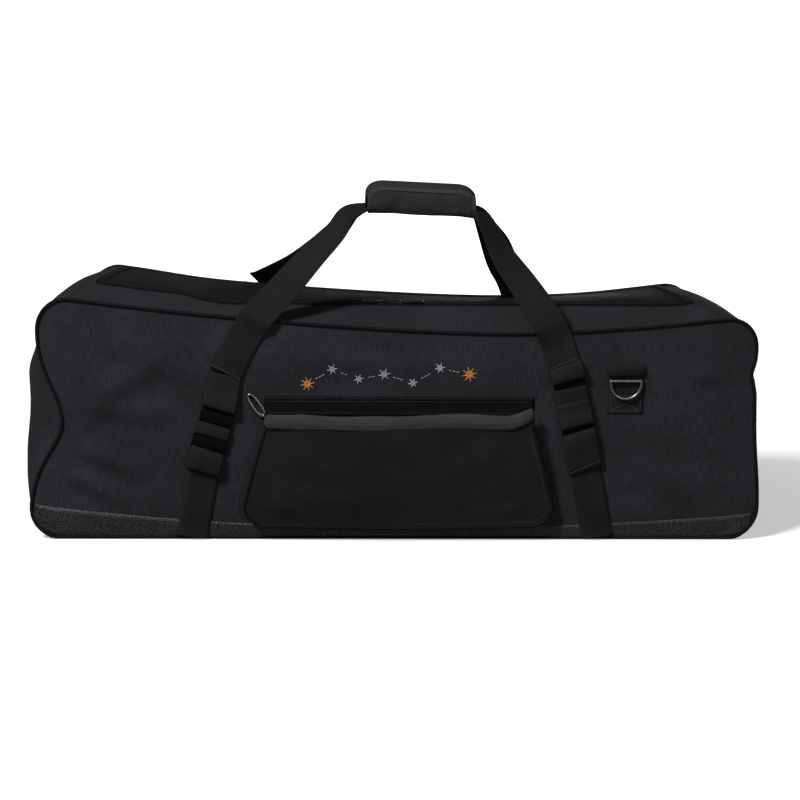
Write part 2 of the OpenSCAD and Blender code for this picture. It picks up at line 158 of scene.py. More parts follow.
POCKET_FOLDS = (
    (-0.16, 0.14, -0.05, 0.085, 0.016, 0.002),
    (0.165, 0.15, 0.07, 0.09, 0.016, 0.0022),
    (0.19, 0.05, 0.1, 0.03, 0.012, 0.0018),
    (-0.19, 0.055, -0.09, 0.034, 0.012, 0.0016),
    (-0.02, 0.16, 0.03, 0.12, 0.014, 0.0014),
)


def top_height(x, side=FRONT):
    """Height of the sagging top edge of the front or rear face."""
    left = 0.045 * clamp((0.15 - x) / 0.6, 0, 2) ** 1.6
    right = 0.021 * clamp((x - 0.15) / 0.3, 0, 2) ** 1.8
    if side == FRONT:
        return LOW_TOP_FRONT + left + right
    return LOW_TOP_REAR + 0.93 * left + 0.85 * right


def side_shift(x, z, side=FRONT):
    """How far the left and right edges of a face are pulled in or pushed out."""
    near_left = smooth((-x - 0.22) / 0.26)
    near_right = smooth((x - 0.22) / 0.26)
    waist_w = np.where(z > WAIST_Z, 0.068, 0.05)
    left = 0.004 + 0.037 * bump(z, WAIST_Z, waist_w) - 0.008 * bump(z, 0.03, 0.05) + 0.004 * bump(z, 0.31, 0.05)
    right = 0.004 + 0.009 * bump(z, 0.05, 0.08) - 0.006 * bump(z, 0.235, 0.016)
    if side == REAR:
        left = 0.006 + 0.012 * bump(z, 0.17, 0.08) + 0.06 * smooth((z - 0.195) / 0.12)
        right = -0.004 - 0.01 * bump(z, 0.15, 0.08) - 0.048 * smooth((z - 0.2) / 0.11)
    return near_left * left + near_right * right


def warp(x, z, side=FRONT):
    """A point of the CAD's flat face, where the soft face has it."""
    return x + side_shift(x, z, side), z * mix(1.0, top_height(x, side) / CASE_H, smooth(z / 0.05))


def fbm(x, y, z, seed, octaves=3):
    """Soft repeatable noise at one point, about -1 to 1."""
    total, size, amp = 0.0, 1.0, 1.0
    for _ in range(octaves):
        total += amp * noise.noise(Vector((x * size + seed, y * size - seed, z * size + 2 * seed)))
        size, amp = size * 2.03, amp * 0.5
    return total


fbm_v = np.vectorize(fbm, otypes=[float])


def fold(x, z, x0, z0, x1, z1, width, height):
    """A soft crease along a line on a face, fading at both ends."""
    dx, dz = x1 - x0, z1 - z0
    long = math.hypot(dx, dz)
    along = ((x - x0) * dx + (z - z0) * dz) / long
    off = ((x - x0) * dz - (z - z0) * dx) / long
    ends = smooth(along / (0.35 * long)) * smooth((long - along) / (0.35 * long))
    return height * ends * (np.exp(-((off / width) ** 2)) - 0.6 * np.exp(-(((off - 1.6 * width) / width) ** 2)))


def creases(x, z, table):
    """All the creases of a table together."""
    return sum(fold(x, z, *row) for row in table)


def half_length(z):
    """Half length of the CAD's rounded face at a height."""
    rise = clamp(CORNER_R - np.minimum(z, CASE_H - z), 0, CORNER_R)
    return BASE_FLAT_X + np.sqrt(np.maximum(CORNER_R * CORNER_R - rise * rise, 0))


def edge_distance(x, z, side=FRONT):
    """How far a place on a soft face is from its nearest end."""
    best = np.full(np.broadcast(x, z).shape, 9.0)
    for sign in (-1, 1):
        flat_z = z * CASE_H / top_height(sign * 0.47, side)
        end = half_length(clamp(flat_z, 0, CASE_H))
        best = np.minimum(best, end - sign * (x - side_shift(sign * end, flat_z, side)))
    return best


def face_y(x, z, side=FRONT):
    """Y of a face's cloth at a place on it: pillowed inside its seam, with soft folds."""
    top = top_height(x, side)
    edge_x = smooth(edge_distance(x, z, side) / 0.075)
    edge_z = smooth(z / 0.05) * smooth((top - z) / 0.06)
    inside = edge_x * edge_z
    # Flat behind the pocket's mouth, and where a ring's tab is sewn down
    ring = bump(x, -side * 0.322, 0.055) * bump(z, 0.215, 0.055)
    mouth = smooth((0.235 - np.abs(x - 0.008)) / 0.05) * bump(z, 0.19, 0.035) if side == FRONT else 0.0
    inside = inside * (1 - 0.85 * ring) * (1 - 0.8 * mouth)
    out = 0.006 * inside ** 0.7
    waves = fbm_v(x * 4.0, 0.0, z * 5.0, 3.7 + side, 2)
    crumple = fbm_v(x * 15.0, 0.0, z * 11.0, 8.1 + side, 2)
    out = out + (0.0035 * waves + 0.0011 * crumple) * smooth(inside * 1.5)
    out = out + inside * creases(x, z, FRONT_FOLDS if side == FRONT else REAR_FOLDS)
    return side * (SEAM_Y - 0.001 + out)


# ---- Mesh helpers ----
def settle(piece, body, slot, *nodes):
    """Ties a piece to its body, in place of the CAD nodes it stands for. Its slot is not used."""
    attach(piece, body)
    if nodes:
        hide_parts(*nodes)
    return piece


def add_mesh(name, points, faces):
    """A smooth-shaded mesh object."""
    mesh = bpy.data.meshes.new(name)
    mesh.from_pydata([tuple(float(c) for c in p) for p in points], [], [tuple(f) for f in faces])
    mesh.validate()
    mesh.update()
    piece = bpy.data.objects.new(name, mesh)
    bpy.context.scene.collection.objects.link(piece)
    mesh.polygons.foreach_set("use_smooth", [True] * len(mesh.polygons))
    return piece


# Half widths and half thicknesses round a strip of webbing
RIBBON_SECTION = [(-1, 0), (-0.97, 0.8), (-0.9, 1), (-0.45, 0.86), (0, 0.84), (0.45, 0.86), (0.9, 1), (0.97, 0.8),
                  (1, 0), (0.97, -0.8), (0.9, -1), (0, -0.84), (-0.9, -1), (-0.97, -0.8)]


class Shell:
    """Points and faces of one piece, with a UV in metres for each point."""

    def __init__(self):
        self.points, self.uv, self.faces, self.slots = [], [], [], []

    def add(self, points, uv=None):
        start = len(self.points)
        points = np.asarray(points, float).reshape(-1, 3)
        if uv is None:
            uv = points[:, [0, 2]]
        self.points.extend(points.tolist())
        self.uv.extend(np.asarray(uv, float).reshape(-1, 2).tolist())
        return start

    def face(self, corners, slot=0):
        self.faces.append(tuple(int(c) for c in corners))
        self.slots.append(slot)

    def grid(self, points, uv=None, slot=0, wrap_u=False, wrap_v=False, flip=False):
        points = np.asarray(points, float)
        rows, cols = points.shape[:2]
        start = self.add(points, uv)
        for i in range(rows if wrap_u else rows - 1):
            for j in range(cols if wrap_v else cols - 1):
                k, m = (i + 1) % rows, (j + 1) % cols
                q = (i * cols + j, i * cols + m, k * cols + m, k * cols + j)
                q = q[::-1] if flip else q
                self.face([start + c for c in q], slot)
        return start

    def caps(self, start, rows, cols, slot=0, flip=False):
        """The two ends of a grid that is wrapped into a tube."""
        first, last = ([start + row * cols + c for c in range(cols)] for row in (0, rows - 1))
        self.face(first if flip else first[::-1], slot)
        self.face(last[::-1] if flip else last, slot)

    def slab(self, outer, inner, uv, inner_slot=0, flip=False):
        """A closed pad between two grids of the same size."""
        outer, inner = np.asarray(outer, float), np.asarray(inner, float)
        rows, cols = outer.shape[:2]
        a = self.grid(outer, uv, flip=flip)
        b = self.grid(inner, uv, inner_slot, flip=not flip)
        rim = [(0, j) for j in range(cols)] + [(i, cols - 1) for i in range(1, rows)]
        rim += [(rows - 1, j) for j in range(cols - 2, -1, -1)] + [(i, 0) for i in range(rows - 2, 0, -1)]
        for n, (i, j) in enumerate(rim):
            k, m = rim[(n + 1) % len(rim)]
            q = (a + i * cols + j, b + i * cols + j, b + k * cols + m, a + k * cols + m)
            self.face(q[::-1] if flip else q)

    def tube(self, path, radius, sides=8, closed=False, up=(0, 0, 1)):
        """A round tube along a path."""
        path = np.asarray(path, float)
        n = len(path)
        ahead = np.roll(path, -1, 0) - np.roll(path, 1, 0)
        if not closed:
            ahead[0], ahead[-1] = path[1] - path[0], path[-1] - path[-2]
        ahead /= np.linalg.norm(ahead, axis=1)[:, None] + 1e-12
        side = np.cross(ahead, np.asarray(up, float))
        weak = np.linalg.norm(side, axis=1) < 0.15
        side[weak] = np.cross(ahead[weak], (0.3, 1.0, 0.0))
        side /= np.linalg.norm(side, axis=1)[:, None]
        over = np.cross(side, ahead)
        turn = round_angles(sides)
        ring = (path[:, None] + side[:, None] * (np.cos(turn)[:, None] * radius)
                + over[:, None] * (np.sin(turn)[:, None] * radius))
        along = run_length(path)
        uv = together(turn * radius, along[:, None])
        start = self.grid(ring, uv, wrap_u=closed, wrap_v=True)
        if not closed:
            self.caps(start, n, sides)

    def ribbon(self, path, across, width, thick):
        """Flat webbing along a path; across is the direction of its width at each point."""
        path, across = np.asarray(path, float), np.asarray(across, float)
        n = len(path)
        ahead = np.gradient(path, axis=0)
        ahead /= np.linalg.norm(ahead, axis=1)[:, None] + 1e-12
        across = unit(across - (across * ahead).sum(1)[:, None] * ahead)
        normal = np.cross(ahead, across)
        w, t = np.broadcast_to(width, (n,)) / 2, np.broadcast_to(thick, (n,)) / 2
        s = np.array(RIBBON_SECTION)
        ring = (path[:, None] + across[:, None] * (s[None, :, 0:1] * w[:, None, None])
                + normal[:, None] * (s[None, :, 1:2] * t[:, None, None]))
        along = run_length(path)
        uv = together(s[None, :, 0] * w[:, None], along[:, None])
        self.caps(self.grid(ring, uv, wrap_v=True), n, len(s))

    def stitches(self, path, normal, length, gap, radius, slot):
        """A row of small sewn threads lying on a surface along a path."""
        path, normal = np.asarray(path, float), np.asarray(normal, float)
        along = run_length(path)
        start = np.arange(gap, along[-1] - length, length + gap)
        ends = values_at(start, along, path), values_at(start + length, along, path)
        for a, b, up in zip(*ends, values_at(start, along, normal)):
            self.bead(a, b, up, radius, slot)

    def bead(self, a, b, up, radius, slot=0, flat=0.7):
        """A short rounded thread between two points."""
        axis = (b - a) / (np.linalg.norm(b - a) + 1e-12)
        side = np.cross(axis, up)
        side /= np.linalg.norm(side) + 1e-12
        up = np.cross(side, axis)
        rings = []
        for t, r in ((0.0, 0.35), (0.18, 0.85), (0.5, 1.0), (0.82, 0.85), (1.0, 0.35)):
            turn = round_angles(6)
            centre = a + (b - a) * t + up * radius * flat * 0.5 * r
            rings.append(centre + np.outer(np.cos(turn), side) * radius * r
                         + np.outer(np.sin(turn), up) * radius * r * flat)
        self.caps(self.grid(np.array(rings), None, slot, wrap_v=True), len(rings), 6, slot)

    def build(self, name, *materials):
        piece = add_mesh(name, self.points, self.faces)
        mesh = piece.data
        for material in materials:
            mesh.materials.append(material)
        mesh.polygons.foreach_set("material_index", self.slots)
        layer = mesh.uv_layers.new(name="metres")
        corner = np.zeros(len(mesh.loops), int)
        mesh.loops.foreach_get("vertex_index", corner)
        layer.data.foreach_set("uv", np.array(self.uv)[corner].ravel())
        return piece


def curve_through(points, count):
    """A smooth line through a few points, with even steps."""
    p = np.asarray(points, float)
    p = np.vstack([2 * p[0] - p[1], p, 2 * p[-1] - p[-2]])
    fine = []
    for a, b, c, d in zip(p, p[1:], p[2:], p[3:]):
        for t in np.linspace(0, 1, 24, endpoint=False):
            fine.append(0.5 * ((2 * b) + (c - a) * t + (2 * a - 5 * b + 4 * c - d) * t ** 2
                               + (3 * b - a - 3 * c + d) * t ** 3))
    fine.append(p[-2])
    fine = np.array(fine)
    return resample(fine, count)


def on_face(x, z, off=0.0, side=FRONT):
    """Points on a face's cloth, lifted off it by a distance, and the face's outward directions."""
    x, z = np.broadcast_arrays(np.asarray(x, float), np.asarray(z, float))
    e = 0.0025
    y = face_y(x, z, side)
    dx = (face_y(x + e, z, side) - face_y(x - e, z, side)) / (2 * e)
    dz = (face_y(x, z + e, side) - face_y(x, z - e, side)) / (2 * e)
    n = unit(side * together(-dx, np.ones_like(dx), -dz))
    return together(x, y, z) + n * np.asarray(off)[..., None], n


# ---- Materials ----
class Look:
    """A material and short ways to add its nodes."""

    def __init__(self, name, colour, rough, sheen=0.0, metal=0.0, specular=0.5):
        self.mat = bpy.data.materials.new(name)
        self.mat.use_nodes = True
        self.tree = self.mat.node_tree
        self.shader = self.tree.nodes["Principled BSDF"]
        self.feed(self.shader, {"Base Color": colour, "Roughness": rough, "Metallic": metal,
                                "Specular IOR Level": specular, "Sheen Weight": sheen, "Sheen Roughness": 0.45})
        self.mat.diffuse_color = (*colour, 1)
        self.normal = None

    def node(self, kind, links=None, **settings):
        """A new node; settings go to its sockets or its own options, links join other nodes' outputs to it."""
        made = self.tree.nodes.new(kind)
        for key, value in settings.items():
            if key in made.inputs:
                made.inputs[key].default_value = value
            else:
                setattr(made, key, value)
        for key, value in (links or {}).items():
            self.tree.links.new(value, made.inputs[key])
        return made

    def link(self, out, socket):
        self.tree.links.new(out, self.shader.inputs[socket])

    def coords(self, scale, kind="UV"):
        place = self.node("ShaderNodeTexCoord")
        mapping = self.node("ShaderNodeMapping", {"Vector": place.outputs[kind]})
        mapping.inputs["Scale"].default_value = scale
        return mapping.outputs["Vector"]

    def noise(self, scale, kind="UV", detail=3.0, rough=0.55):
        return self.node("ShaderNodeTexNoise", {"Vector": self.coords(scale, kind)}, Scale=1.0,
                         Detail=detail, Roughness=rough).outputs["Fac"]

    def sine(self, per_metre, axis):
        """A plain sine of a UV direction, from 0 to 1."""
        split = self.node("ShaderNodeSeparateXYZ", {"Vector": self.coords((per_metre * 2 * math.pi,) * 3)})
        wave = self.node("ShaderNodeMath", {0: split.outputs[axis]}, operation="SINE")
        half = self.node("ShaderNodeMath", {0: wave.outputs[0]}, operation="MULTIPLY_ADD")
        self.feed(half, {1: 0.5, 2: 0.5})
        return half.outputs[0]

    def feed(self, node, values):
        """Sets a node's sockets to numbers or colours, or links them."""
        for socket, value in values.items():
            if isinstance(value, (int, float)):
                node.inputs[socket].default_value = value
            elif isinstance(value, tuple):
                node.inputs[socket].default_value = (*value, 1)
            else:
                self.tree.links.new(value, node.inputs[socket])

    def maths(self, operation, a, b):
        made = self.node("ShaderNodeMath", operation=operation)
        self.feed(made, {0: a, 1: b})
        return made.outputs[0]

    def ramp(self, value, low, high, colour_low, colour_high):
        made = self.node("ShaderNodeValToRGB", {"Fac": value})
        for stop, place, colour in zip(made.color_ramp.elements, (low, high), (colour_low, colour_high)):
            stop.position, stop.color = place, (*colour, 1)
        return made.outputs["Color"]

    def shade(self, base, factor, value, low, high, dark, light):
        """The colour so far, multiplied by greys that follow a value."""
        return self.blend_colour("MULTIPLY", factor, base, self.ramp(value, low, high, (dark,) * 3, (light,) * 3))

    def blend_colour(self, kind, factor, a, b):
        made = self.node("ShaderNodeMix", data_type="RGBA", blend_type=kind)
        self.feed(made, {0: factor, 6: a, 7: b})
        return made.outputs[2]

    def bump(self, height, strength, distance):
        links = {"Height": height}
        if self.normal:
            links["Normal"] = self.normal
        made = self.node("ShaderNodeBump", links, Strength=strength, Distance=distance)
        self.normal = made.outputs["Normal"]
        self.link(self.normal, "Normal")


def tint(colour, factor):
    return tuple(min(1.0, c * factor) for c in colour)


def cloth_look(name, colour, rough=0.82, sheen=0.01, threads=900, slub=0.5, bump=0.35, shine=0.08):
    """Plain weave with upright slubs, large blotches that are partly wear and partly painted patchy highlights, and
    folds that catch a little light.
    """
    look = Look(name, colour, rough, sheen=sheen, specular=shine)
    slubs = look.noise((620, 60, 1), detail=4.0, rough=0.6)
    cross = look.noise((60, 520, 1), detail=3.0, rough=0.6)
    wear_and_highlight_patches = look.noise((9, 9, 9), kind="Object", detail=3.0)
    weave = look.maths("MULTIPLY", look.sine(threads, "X"), look.sine(threads, "Y"))
    base = look.ramp(slubs, 0.3, 0.75, tint(colour, 1 - 0.55 * slub), tint(colour, 1 + 1.1 * slub))
    base = look.shade(base, 0.5, cross, 0.3, 0.7, 0.72, 1.0)
    # Large lighter and darker blotches: partly wear, partly painted highlights in patches
    base = look.shade(base, 0.8, wear_and_highlight_patches, 0.3, 0.7, 0.62, 1.0)
    look.link(base, "Base Color")
    look.bump(look.noise((38, 26, 38), kind="Object", detail=3.0), 0.5, 0.004)
    look.bump(weave, bump, 0.0005)
    look.bump(slubs, bump, 0.0007)
    return look.mat


def webbing_look(name, colour):
    """Ribbed webbing: close ribs across it, channels along it, a fuzzy nap."""
    look = Look(name, colour, 0.75, sheen=0.01, specular=0.06)
    ribs = look.sine(620, "Y")
    channels = look.sine(440, "X")
    nap = look.noise((900, 260, 1), detail=4.0)
    wear = look.noise((30, 14, 1), detail=3.0)
    pattern = look.maths("MULTIPLY", ribs, channels)
    base = look.ramp(pattern, 0.0, 1.0, tint(colour, 0.85), tint(colour, 1.35))
    base = look.shade(base, 0.8, nap, 0.3, 0.75, 0.6, 1.0)
    base = look.shade(base, 0.8, wear, 0.3, 0.7, 0.6, 1.0)
    look.link(base, "Base Color")
    look.bump(pattern, 0.55, 0.0007)
    look.bump(nap, 0.3, 0.0005)
    return look.mat


def vinyl_look(name, colour, rough=0.42, grain=560, shine=0.4):
    """Pebbled vinyl: rounded cells with painted highlights on their tops and painted shade between them."""
    look = Look(name, colour, rough, specular=shine)
    cells = look.node("ShaderNodeTexVoronoi", {"Vector": look.coords((grain, grain, grain), "Object")},
                      feature="SMOOTH_F1", Scale=1.0, Smoothness=0.35).outputs["Distance"]
    fine = look.noise((1400, 1400, 1400), kind="Object", detail=2.0)
    worn = look.noise((14, 14, 14), kind="Object", detail=4.0)
    # Pebble tops painted light as highlights, the creases between them painted dark as shade
    base = look.ramp(cells, 0.15, 0.6, tint(colour, 2.6), tint(colour, 0.35))
    base = look.shade(base, 0.7, worn, 0.3, 0.7, 0.7, 1.35)
    look.link(base, "Base Color")
    look.bump(look.maths("SUBTRACT", 1.0, cells), 0.8, 0.0009)
    look.bump(fine, 0.15, 0.0003)
    return look.mat


def metal_look(name, colour, rough):
    """Plated metal with fine scratches and slightly dull patches."""
    look = Look(name, colour, rough, metal=1.0)
    dull = look.noise((120, 120, 120), kind="Object", detail=4.0)
    scratch = look.noise((2600, 220, 900), kind="Object", detail=3.0)
    look.link(look.ramp(dull, 0.3, 0.75, (rough * 0.75,) * 3, (min(1.0, rough * 1.7),) * 3), "Roughness")
    look.link(look.ramp(dull, 0.3, 0.8, tint(colour, 1.06), tint(colour, 0.82)), "Base Color")
    look.bump(scratch, 0.12, 0.0002)
    return look.mat


def plastic_look(name, colour, rough=0.45, shine=0.5):
    """Moulded nylon with a fine grain."""
    look = Look(name, colour, rough, specular=shine)
    grain = look.noise((1500, 1500, 1500), kind="Object", detail=3.0)
    patch = look.noise((60, 60, 60), kind="Object", detail=2.0)
    look.link(look.ramp(patch, 0.3, 0.7, tint(colour, 0.8), tint(colour, 1.25)), "Base Color")
    look.bump(grain, 0.2, 0.0003)
    return look.mat


def thread_look(name, colour):
    """Twisted thread."""
    look = Look(name, colour, 0.6, sheen=0.2)
    twist = look.noise((3000, 3000, 3000), kind="Object", detail=2.0)
    look.link(look.ramp(twist, 0.3, 0.7, tint(colour, 0.6), tint(colour, 1.3)), "Base Color")
    look.bump(twist, 0.5, 0.0003)
    return look.mat


CLOTH = cloth_look("case_cloth", (0.025, 0.0252, 0.03), slub=0.46)
# The lid's cloth is a darker, neutral grey: partly its own colour, partly painted shade for the grip's shadow
# across the lid
LID_CLOTH_SHADED = cloth_look("lid_cloth_shaded_look", (0.009, 0.009, 0.0093), slub=0.16)
POCKET_CLOTH = cloth_look("pocket_cloth_look", (0.015, 0.015, 0.0162), slub=0.12, bump=0.2)
WEBBING = webbing_look("webbing_look", (0.0205, 0.0205, 0.0202))
VINYL = vinyl_look("pebbled_vinyl", (0.019, 0.019, 0.0196))
PIPING = vinyl_look("piping_cover", (0.005, 0.005, 0.0056), rough=0.6, grain=1100, shine=0.12)
GRIP_CLOTH = cloth_look("grip_cloth_look", (0.0345, 0.0355, 0.0378), slub=0.2, threads=700, bump=0.4)
# Near-black webbing for strips in the gaps between the straps' folds: painted shade for the shadow there
GAP_SHADE_WEB = webbing_look("gap_shade_strip_look", (0.0028, 0.0028, 0.003))
BINDING = webbing_look("binding_look", (0.064, 0.064, 0.065))
TAPE = webbing_look("zip_tape_look", (0.0075, 0.0075, 0.008))
COIL = plastic_look("coil_nylon", (0.0065, 0.0065, 0.007), 0.6, 0.2)
HOOKS = cloth_look("hook_and_loop", (0.008, 0.008, 0.008), rough=0.95, threads=600, slub=0.4, bump=0.9)
NICKEL = metal_look("bright_nickel", (0.26, 0.26, 0.27), 0.26)
RING_METAL = metal_look("grey_nickel", (0.24, 0.24, 0.25), 0.26)
DARK_METAL = metal_look("dark_nickel", (0.05, 0.05, 0.055), 0.34)
LINING = cloth_look("lining_nylon", (0.05, 0.05, 0.056), 0.6, 0.1, 1400, slub=0.15, bump=0.12, shine=0.45)
THREAD_DARK = thread_look("thread_dark", (0.022, 0.022, 0.024))
THREAD_GREY = thread_look("thread_grey", (0.06, 0.06, 0.063))
THREAD_PALE = thread_look("thread_pale", (0.32, 0.33, 0.35))
THREAD_ORANGE = thread_look("thread_orange", (0.55, 0.2, 0.03))


# ---- Walls of the case ----
def face_grid(side, columns=168, rows=60):
    """Grid of places over a face: x and z after sagging."""
    z = CASE_H * (0.5 - 0.5 * np.cos(np.linspace(0, math.pi, rows)))
    u = np.linspace(-1, 1, columns)
    u = 0.6 * u + 0.4 * np.sin(u * math.pi / 2)
    x = u * half_length(z)[:, None]
    return warp(x, np.broadcast_to(z[:, None], x.shape), side)


def wall(side, name, *nodes):
    """The padded front or rear wall of the case."""
    x, z = face_grid(side)
    outer = together(x, face_y(x, z, side), z)
    inner = outer.copy()
    inner[..., 0] *= 0.988
    inner[..., 2] = 0.012 + (inner[..., 2] - 0.012) * 0.985
    inner[..., 1] -= side * WALL_T
    shell = Shell()
    shell.slab(outer, inner, together(x, z), 1, flip=side > 0)
    settle(shell.build(name, CLOTH, LINING), "case", "cloth", *nodes)


def c_outline(sign):
    """Places up one end of the case: from the foot round both corners to the top."""
    turn = np.linspace(-math.pi / 2, 0, 12)
    out = [(BASE_FLAT_X + CORNER_R * math.cos(a), CORNER_R + CORNER_R * math.sin(a)) for a in turn]
    out += [(BASE_FLAT_X + CORNER_R, z) for z in np.linspace(CORNER_R, CASE_H - CORNER_R, 40)[1:-1]]
    turn = np.linspace(0, math.pi / 2, 12)
    out += [(BASE_FLAT_X + CORNER_R * math.cos(a), CASE_H - CORNER_R + CORNER_R * math.sin(a)) for a in turn]
    return np.array(out) * [sign, 1.0]


def top_bulge(s):
    """How far the top stands above the line between its two edges."""
    return 0.007 * np.sin(math.pi * clamp(s)) ** 0.8


def top_noise(x, y, s):
    """Waves in the soft top, and the zip's stiff line, which stays level where the cloth sags."""
    waves = 0.003 * fbm_v(x * 4.0, y * 6.0, 1.0, 9.1, 2) * np.sin(math.pi * clamp(s))
    zip_s = (ZIP_Y + SEAM_Y) / (2 * SEAM_Y)
    natural = mix(top_height(x, FRONT), top_height(x, REAR), zip_s) + top_bulge(zip_s)
    span = smooth((x + 0.31) / 0.085) * smooth((0.44 - x) / 0.05)
    ridge = smooth((y + SEAM_Y) / (ZIP_Y + SEAM_Y)) * smooth((SEAM_Y - y) / (SEAM_Y - ZIP_Y))
    calm = 1 - span * np.exp(-(((y - ZIP_Y) / 0.03) ** 2))
    return waves * calm + (ZIP_Z - natural) * span * ridge


def top_point(x, y, lift=0.0):
    """A place on the soft top of the case, from the CAD's x and y."""
    s = clamp((y + SEAM_Y) / (2 * SEAM_Y))
    fx, fz = warp(x, CASE_H + 0 * x, FRONT)
    rx, rz = warp(x, CASE_H + 0 * x, REAR)
    z = mix(fz, rz, s) + top_bulge(s) + top_noise(x, y, s) + lift
    return together(mix(fx, rx, s), y, z)


def end_surface(sign, columns=40, inset=0.0):
    """The cloth of one end, or a surface that far inside it, from the front seam to the rear one."""
    base = c_outline(sign)
    s = np.linspace(0, 1, columns)
    fx, fz = warp(base[:, 0], base[:, 1], FRONT)
    rx, rz = warp(base[:, 0], base[:, 1], REAR)
    seam = SEAM_Y - 0.0015
    points = np.zeros((len(base), columns, 3))
    points[..., 0] = mix(fx[:, None], rx[:, None], s)
    points[..., 1] = mix(-seam, seam, s)
    points[..., 2] = mix(fz[:, None], rz[:, None], s)
    ahead = np.gradient(base, axis=0)
    normal = unit(together(ahead[:, 1], -ahead[:, 0]) * sign)
    z = base[:, 1]
    round_out = np.sin(math.pi * s) ** 0.6
    # The end is full across its middle, so the waist shows only in the seam
    full_x = 0.5165 if sign < 0 else 0.5135
    middle = sign * points[:, columns // 2, 0]
    rise = smooth(z / 0.075) * smooth((CASE_H - 0.025 - z) / 0.1)
    side_part = rise * clamp(full_x - middle, 0.006, 0.06)
    out = side_part[:, None] * round_out
    near_top = smooth((z - CASE_H + 0.05) / 0.05)[:, None]
    out = out + top_bulge(s) * near_top
    noise_part = fbm_v(points[..., 1] * 7, points[..., 2] * 7, sign, 5.5, 2)
    out = out + 0.0045 * noise_part * round_out * smooth(z / 0.06)[:, None] * (1 - near_top)
    out = out + near_top * top_noise(base[:, 0:1], points[..., 1], s)
    # Gathers that run back from the front seam at the waist
    share, reach, start = (1, 0.22, 0.04) if sign < 0 else (0.25, 0.2, 0.05)
    near_seam = share * np.exp(-(s / reach) ** 2) * smooth(s / start)
    ripple = np.cos((z[:, None] - WAIST_Z + 0.02 * s) * 2 * math.pi / 0.0135)
    out = out + 0.0026 * ripple * near_seam * bump(z, 0.16, 0.035)[:, None]
    points[..., 0] += normal[:, 0:1] * (out - inset)
    points[..., 2] += normal[:, 1:2] * (out - inset)
    points[..., 2] = np.maximum(points[..., 2], 0.0004 + inset)
    return points, base, s


def end_wall(sign, name, *nodes):
    """The padded left or right end of the case."""
    outer, base, s = end_surface(sign)
    inner, _, _ = end_surface(sign, inset=WALL_T)
    inner[..., 1] *= 0.985
    uv = together(s * 0.24, run_length(base)[:, None])
    shell = Shell()
    shell.slab(outer, inner, uv, 1, flip=sign < 0)
    settle(shell.build(name, CLOTH, LINING), "case", "cloth", *nodes)


def seam_loop(side, lift=GAP):
    """The seam line round a face, as points in order."""
    right = c_outline(1)
    left = c_outline(-1)[::-1]
    steps = np.linspace(-1, 1, 90)[1:-1] * BASE_FLAT_X
    top = together(steps[::-1], np.full(len(steps), CASE_H))
    foot = together(steps, np.zeros(len(steps)))
    loop = np.vstack([right, top, left, foot])
    x, z = warp(loop[:, 0], loop[:, 1], side)
    ahead = unit(np.roll(together(x, z), -1, 0) - np.roll(together(x, z), 1, 0))
    x = x + ahead[:, 1] * lift
    z = np.maximum(z - ahead[:, 0] * lift, 0.0026)
    return together(x, np.full(len(x), side * SEAM_Y), z)


def piping(side, name, node):
    """The corded seam round a face."""
    shell = Shell()
    shell.tube(seam_loop(side), PIPING_R, sides=10, closed=True, up=(0, 1, 0))
    settle(shell.build(name, PIPING), "case", "piping", node)


def top_patch(x0, x1, y0, y1, columns, rows, thick, edges="", crown=0.0):
    """Outer and inner grids of a panel of the soft top. It thins towards the edges named W, E, S and N."""
    x, y = np.meshgrid(np.linspace(x0, x1, columns), np.linspace(y0, y1, rows))
    near = np.full(x.shape, 1.0)
    for key, distance in (("W", x - x0), ("E", x1 - x), ("S", y - y0), ("N", y1 - y)):
        if key in edges:
            near = np.minimum(near, distance)
    full = smooth(near / 0.014)
    top = top_point(x, y)
    outer, inner = top.copy(), top.copy()
    outer[..., 2] += crown * full
    inner[..., 2] -= EDGE_T + (thick - EDGE_T) * full
    return outer, inner, together(x, y)


# ---- Four walls, base and lining ----
wall(FRONT, "front_wall", "front_panel", "front_foam")
wall(REAR, "rear_wall", "rear_panel", "rear_foam")
end_wall(-1, "left_end_wall", "left_end_panel", "left_end_foam")
end_wall(1, "right_end_wall", "right_end_panel", "right_end_foam")

bx, by = np.meshgrid(np.linspace(-BASE_FLAT_X, BASE_FLAT_X, 90), np.linspace(-SEAM_Y + 0.001, SEAM_Y - 0.001, 26))
base_uv = together(bx, by)
base_outer = together(bx, by, np.full_like(bx, 0.0))
base_inner = base_outer + [0, 0, BASE_T]
shell = Shell()
shell.slab(base_outer, base_inner, base_uv, 1, flip=True)
base_wall = settle(shell.build("base_wall", VINYL, LINING), "case", "vinyl",
                   "base_panel", "base_foam", "base_board")

shell = Shell()
shell.slab(base_inner + [0, 0, GAP], base_inner + [0, 0, 0.0014], base_uv)
lining = settle(shell.build("case_lining_cloth", LINING), "case", "lining", "case_lining")

piping(FRONT, "front_seam_piping", "front_piping")
piping(REAR, "rear_seam_piping", "rear_piping")


# ---- Top: fixed strips, zip and lid ----
OPEN_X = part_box("top_end_strips")[1][0] - 0.01
OPEN_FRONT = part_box("top_front_strip")[1][1]
LID_LOW, LID_HIGH = (np.array(c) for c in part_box("lid_panel"))
REAR_EDGE = SEAM_Y - 0.001
ZIP_TAPE_W = 0.0085

shell = Shell()
shell.slab(*top_patch(-BASE_FLAT_X - GAP, BASE_FLAT_X + GAP, -SEAM_Y + 0.001, OPEN_FRONT,
                      150, 20, WALL_T * 0.5, "N"), 1)
top_strip = settle(shell.build("top_front_cloth", CLOTH, LINING), "case", "cloth", "top_front_strip")

shell = Shell()
for x0, x1 in ((-BASE_FLAT_X - GAP, -OPEN_X), (OPEN_X, BASE_FLAT_X + GAP)):
    shell.slab(*top_patch(x0, x1, OPEN_FRONT, REAR_EDGE, 5, 30, 0.0025), 1)
settle(shell.build("top_end_cloth", CLOTH, LINING), "case", "cloth", "top_end_strips")

